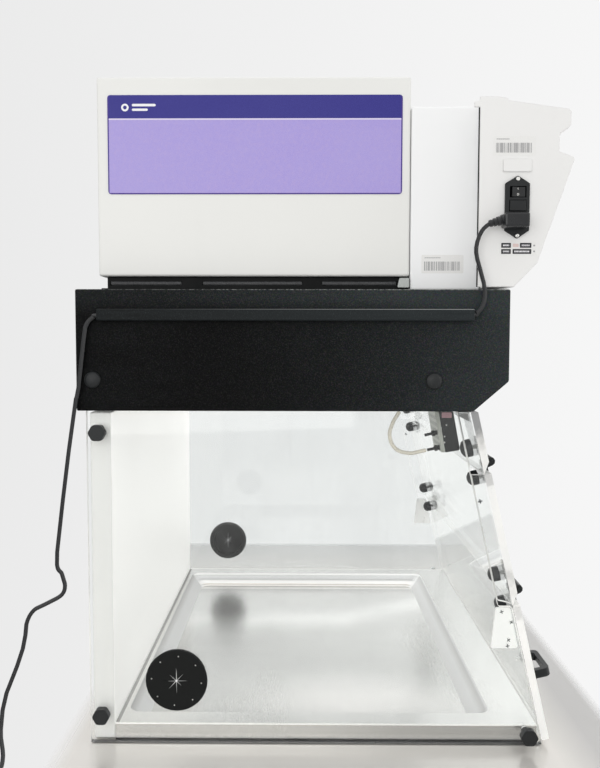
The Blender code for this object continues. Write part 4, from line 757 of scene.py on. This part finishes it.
def crosses(spots, reach, wide):
    """Two crossed bars at each (depth, z, degrees), like the recess of a cross-head screw."""
    loops = []
    for d, z, degrees in spots:
        for a in (math.radians(degrees), math.radians(degrees + 90.0)):
            u = Vector((math.cos(a), math.sin(a))) * reach
            v = Vector((-math.sin(a), math.cos(a))) * wide
            loops.append([(d + p.x, z + p.y) for p in (-u - v, u - v, u + v, v - u)])
    return loops


def draws(seed):
    """Endless run of whole numbers, the same for the same seed."""
    while True:
        seed = (seed * 1103 + 12345) % 65536
        yield seed


def bar_pattern(d0, z0, d1, z1, seed):
    """Uneven upright bars across a strip, like a generic machine-readable mark."""
    loops, d, uneven = [], d0, draws(seed)
    while d < d1 - 1.0:
        wide = 0.35 + 0.40 * (next(uneven) % 3)
        loops.append(rounded_rect(d, z0, d + wide, z1))
        d += wide + 0.45 + 0.35 * (next(uneven) % 3)
    return loops


def small_line(d0, d1, z, tall, seed):
    """A row of tiny blocks that stands for a line of small print."""
    loops, d, uneven = [], d0, draws(seed)
    while d < d1:
        wide = 0.6 + 0.3 * (next(uneven) % 4)
        loops.append(rounded_rect(d, z, min(d + wide, d1), z + tall))
        d += wide + 0.5
    return loops


def data_stickers():
    """Two small white stickers, each with bars and a short line: head and fan housing."""
    plates("head_sticker", [rounded_rect(554.0, 816.5, 611.0, 842.0, 1.5)], HEAD_FACE + 0.25, 0.12,
           STICKER)
    plates("head_sticker_bars", bar_pattern(557.8, 820.3, 606.6, 833.2, 77), HEAD_FACE, 0.06, FAINT_INK)
    plates("head_sticker_line", small_line(558.2, 575.6, 837.6, 1.3, 5), HEAD_FACE, 0.06, FAINT_INK)
    printed = FAN_FACE - 0.15
    plates("fan_sticker", [rounded_rect(463.5, 661.5, 522.0, 687.0, 1.5)], FAN_FACE, 0.12, STICKER)
    plates("fan_sticker_bars", bar_pattern(467.4, 665.3, 518.2, 677.8, 901), printed, 0.06, FAINT_INK)
    plates("fan_sticker_line", small_line(467.8, 490.0, 682.4, 1.3, 9), printed, 0.06, FAINT_INK)


def rating_sticker():
    """Sticker under the inlet: four dark blocks with pale lines, a red tint and two dots."""
    plates("rating_sticker", [rounded_rect(565.4, 683.0, 614.0, 702.2, 1.2)], HEAD_FACE + 0.25, 0.12,
           STICKER)
    blocks = ((566.8, 693.5, 579.8, 700.0), (592.0, 693.5, 607.4, 700.0),
              (566.8, 685.3, 579.8, 691.8), (582.2, 685.3, 607.4, 691.8))
    plates("rating_sticker_blocks", [rounded_rect(*b, 0.5) for b in blocks], HEAD_FACE, 0.06, INK)
    lines = []
    for i, (d0, z0, d1, z1) in enumerate(blocks):
        lines += small_line(d0 + 2.4, d1 - 2.4, (z0 + z1) / 2.0 - 1.1, 2.2, 31 + i)
    plates("rating_sticker_lines", lines, HEAD_FACE - 0.08, 0.05, WHITE_INK)
    plates("rating_sticker_tint", [rounded_rect(582.4, 694.4, 590.2, 699.0, 0.4)], HEAD_FACE, 0.06,
           RED_INK)
    plates("rating_sticker_dots", [rounded_rect(610.0, z, 612.4, z + 2.2, 0.9) for z in (687.6, 695.4)],
           HEAD_FACE, 0.06, FAINT_INK)


def label_mark():
    """Generic mark on the filter's label: a ring with two bars beside it."""
    loops = [circle(52.4, 888.6, 5.2, 24), rounded_rect(62.0, 890.2, 95.0, 893.6, 1.6),
             rounded_rect(62.0, 884.0, 84.0, 887.2, 1.5)]
    plates("label_mark", loops, LABEL_FACE, 0.06, WHITE_INK, "filter")
    plates("label_mark_core", [circle(52.4, 888.6, 2.6, 16)], LABEL_FACE - 0.07, 0.05, LABEL, "filter")


def grommet_fittings():
    """Nylon studs round the flange, a pale painted highlight along the lips of the star slit and a
    painted bright spot at its centre.
    """
    studs = circle(GROMMET_D, GROMMET_Z, 35.0, 8, -5.0)
    painted_slit_lines = []
    for k, reach in enumerate((14.0, 13.0, 17.5, 12.0, 11.5, 14.5, 16.5, 9.0)):
        a = math.radians(45.0 * k + 1.5)
        along, side = Vector((math.cos(a), math.sin(a))), Vector((-math.sin(a), math.cos(a))) * 0.42
        root, tip = along * 0.6, along * reach
        painted_slit_lines.append([(GROMMET_D + p.x, GROMMET_Z + p.y)
                      for p in (root - side, tip - side * 0.2, tip + side * 0.2, root + side)])
    for hand, x in both_sides(GROMMET_FACE):
        heads("grommet_studs_" + hand, [(x, d, z) for d, z in studs], 0.95, 0.5, NICKEL)
        # Painted highlights: the lips of the star slit and its centre.
        plates("grommet_slit_highlights_" + hand, painted_slit_lines, x, 0.12, SLIT_HIGHLIGHT)
        heads("grommet_centre_highlight_" + hand, [(x, GROMMET_D, GROMMET_Z)], 1.35, 0.5, WHITE_INK)


def catch_fittings():
    """Screws on the chamber side of the catch plates, and painted shade for their cross recesses on the
    outer side.
    """
    marks = crosses(((578.0, 188.4, 20.0), (592.0, 173.6, 62.0), (588.4, 148.0, 38.0),
                     (587.2, 139.4, 12.0)), 2.7, 0.62)
    profile = [(0.0, 0.5), (0.8, 0.6), (0.8, 1.2), (1.9, 1.0), (2.4, 0.3), (2.4, 0.0), (0.0, 0.0)]
    for hand, x in both_sides(CATCH_OUT):
        # Painted shade of the cross recesses.
        plates("catch_recesses_" + hand, marks[:2], x, 0.08, RECESS_SHADE)
        plates("catch_recesses_low_" + hand, marks[2:], x, 0.08, RECESS_SHADE)
        bm = bmesh.new()
        for d, z in ((578.0, 188.0), (590.0, 173.6), (587.5, 150.0), (586.5, 141.5)):
            lathe(bm, place(math.copysign(CATCH_IN, x), d, z), -math.copysign(1.0, x), profile, 12)
        piece("catch_screws_" + hand, bm, CATCH_WHITE_PAINTED_GLOW, "frame")


def wing_fittings():
    for hand, x in both_sides(WING_FACE):
        heads("wing_rivet_" + hand, [(x, WING_D, WING_Z)], 2.6, 1.0, ZINC, "middle_flap", recess=1.1)
        # Painted shade of the rivet's cross recess.
        plates("wing_recess_" + hand, crosses([(WING_D, WING_Z, 15.0)], 3.1, 0.75),
               x + math.copysign(1.05, x), 0.08, RECESS_SHADE, "middle_flap")


def small_fittings():
    """Inlet and sensor screws, and the strips that show as dark lines beside head and filter."""
    heads("inlet_screws", [(INLET_FACE, ROCKER_D - 0.5, z) for z in (785.0, 709.7)], 2.9, 1.5, NICKEL,
          recess=0.9)
    heads("sensor_screws", [(SENSOR_FACE, d, z) for d, z in ((508.5, 444.8), (500.6, 440.3),
                                                             (506.0, 428.0), (506.1, 419.3))],
          1.3, 0.8, NICKEL)
    plates("sensor_label", [rounded_rect(501.5, 455.4, 516.0, 463.4, 0.6)], SENSOR_FACE, 0.1, PINK)
    plates("head_edge_strip", [rounded_rect(534.3, 641.0, 535.3, 880.0)], HEAD_STRIP, 3.1, RUBBER)
    bars = ((27.8, 127.2), (157.8, 297.2), (325.8, 429.2))
    for hand, x in both_sides(SEAT_STRIP):
        plates("seat_strips_" + hand, [rounded_rect(a, 646.6, b, 650.6, 0.4) for a, b in bars], x, 3.0,
               FOAM)


data_stickers()
rating_sticker()
label_mark()
grommet_fittings()
catch_fittings()
wing_fittings()
small_fittings()


# ---------------------------------------------------------------- studio
def world_light():
    """Even white wall for the camera. Polished parts mirror a room brighter on the far side and
    ahead; matt parts are lit more evenly, so that no side burns out."""
    world = bpy.data.worlds.new("studio")
    bpy.context.scene.world = world
    t = Tree("studio", world)
    across, back, up = t.axes(t.node("ShaderNodeTexCoord").outputs["Generated"])

    def room(base, far_side, ahead, above):
        """Light of at least the base strength that grows to the far side, ahead and upwards."""
        strength = t.total(t.fit(across, -1.0, 1.0, 0.0, far_side), t.fit(back, 1.0, -1.0, 0.0, ahead),
                           t.fit(up, -0.2, 0.9, 0.0, above), base)
        return t.node("ShaderNodeBackground", Color=(1.0, 0.995, 0.985), Strength=strength).outputs[0]
    mirrored = room(0.42, 0.45, 0.30, 0.35)
    matt = room(0.55, 0.08, 0.12, 0.30)
    seen = t.node("ShaderNodeBackground", Color=t.fit(back, 0.45, -0.35, 0.815, 0.925)).outputs[0]
    path = t.node("ShaderNodeLightPath").outputs
    lit = t.blend(path["Is Glossy Ray"], matt, mirrored)
    t.show(t.blend(path["Is Camera Ray"], lit, seen))


def floor():
    """Pale floor strip under the hood whose edges fade into the background."""
    t = Tree("floor_pale")
    x, y, _ = t.axes()
    gone = t.most(t.fit(x, 0.705, 0.735), t.fit(x, -1.05, -1.5),
                  t.fit(y, -0.415, -0.435), t.fit(y, 0.345, 0.375))
    cloud = t.noise(t.coords(), 4.0, 3.0)
    tone = t.mix(t.fit(cloud, 0.3, 0.7), (0.66, 0.64, 0.61), (0.72, 0.70, 0.67))
    # Painted shade: darker beyond the hood and towards the front.
    tone = t.mix(t.fit(x, 0.35, 0.70), tone, (0.40, 0.40, 0.405))
    tone = t.mix(t.fit(y, -0.32, -0.38), tone, (0.46, 0.455, 0.45))
    solid = t.node("ShaderNodeBsdfPrincipled", Base_Color=tone, Specular_IOR_Level=1.0, Metallic=0.25,
                   Roughness=t.fit(cloud, 0.3, 0.7, 0.16, 0.24)).outputs[0]
    t.show(t.blend(gone, solid, t.node("ShaderNodeBsdfTransparent").outputs[0]))
    bm = bmesh.new()
    bmesh.ops.create_circle(bm, cap_ends=True, radius=1.6, segments=96)
    mesh = bpy.data.meshes.new("floor")
    bm.to_mesh(mesh)
    bm.free()
    disc = bpy.data.objects.new("floor", mesh)
    disc.location.z = -0.0002
    mesh.materials.append(t.mat)
    bpy.context.scene.collection.objects.link(disc)


def lamp(name, spot, aim, size, power, tint=(1.0, 1.0, 1.0)):
    data = bpy.data.lights.new(name, "AREA")
    data.shape = "RECTANGLE"
    data.size, data.size_y = size
    data.energy = power
    data.color = tint
    obj = bpy.data.objects.new(name, data)
    obj.location = spot
    obj.rotation_euler = (Vector(aim) - Vector(spot)).to_track_quat("-Z", "Y").to_euler()
    obj.visible_camera = False
    bpy.context.scene.collection.objects.link(obj)


CAMERA_EYE = (-1.5148, 0.0305, 0.5694)
CAMERA_AHEAD = (0.99799, 0.00953, -0.06263)
CAMERA_TOP = (0.0, 0.0011, 1.0)               # up in the picture, a hair off plumb


def camera():
    data = bpy.data.cameras.new("camera")
    data.lens = 38.17
    data.sensor_width = 36.0
    data.shift_x, data.shift_y = 0.0080, 0.0085
    data.clip_start, data.clip_end = 0.01, 60.0
    eye = bpy.data.objects.new("camera", data)
    forward = Vector(CAMERA_AHEAD).normalized()
    right = forward.cross(Vector(CAMERA_TOP)).normalized()
    up = right.cross(forward)
    axes = Matrix((right, up, -forward)).transposed().to_4x4()
    eye.matrix_world = Matrix.Translation(CAMERA_EYE) @ axes
    bpy.context.scene.collection.objects.link(eye)
    bpy.context.scene.camera = eye


world_light()
floor()
lamp("side", (-2.6, 0.8, 0.95), (0.0, 0.0, 0.5), (2.2, 1.6), 16.5, (1.0, 0.99, 0.97))
lamp("front", (-0.3, -2.6, 0.8), (0.0, 0.3, 0.25), (2.0, 1.2), 14.0, (1.0, 0.985, 0.96))
lamp("top", (0.3, -0.2, 3.0), (0.0, 0.0, 0.3), (2.2, 2.2), 10.0)
camera()
bpy.context.scene.view_settings.view_transform = "Standard"
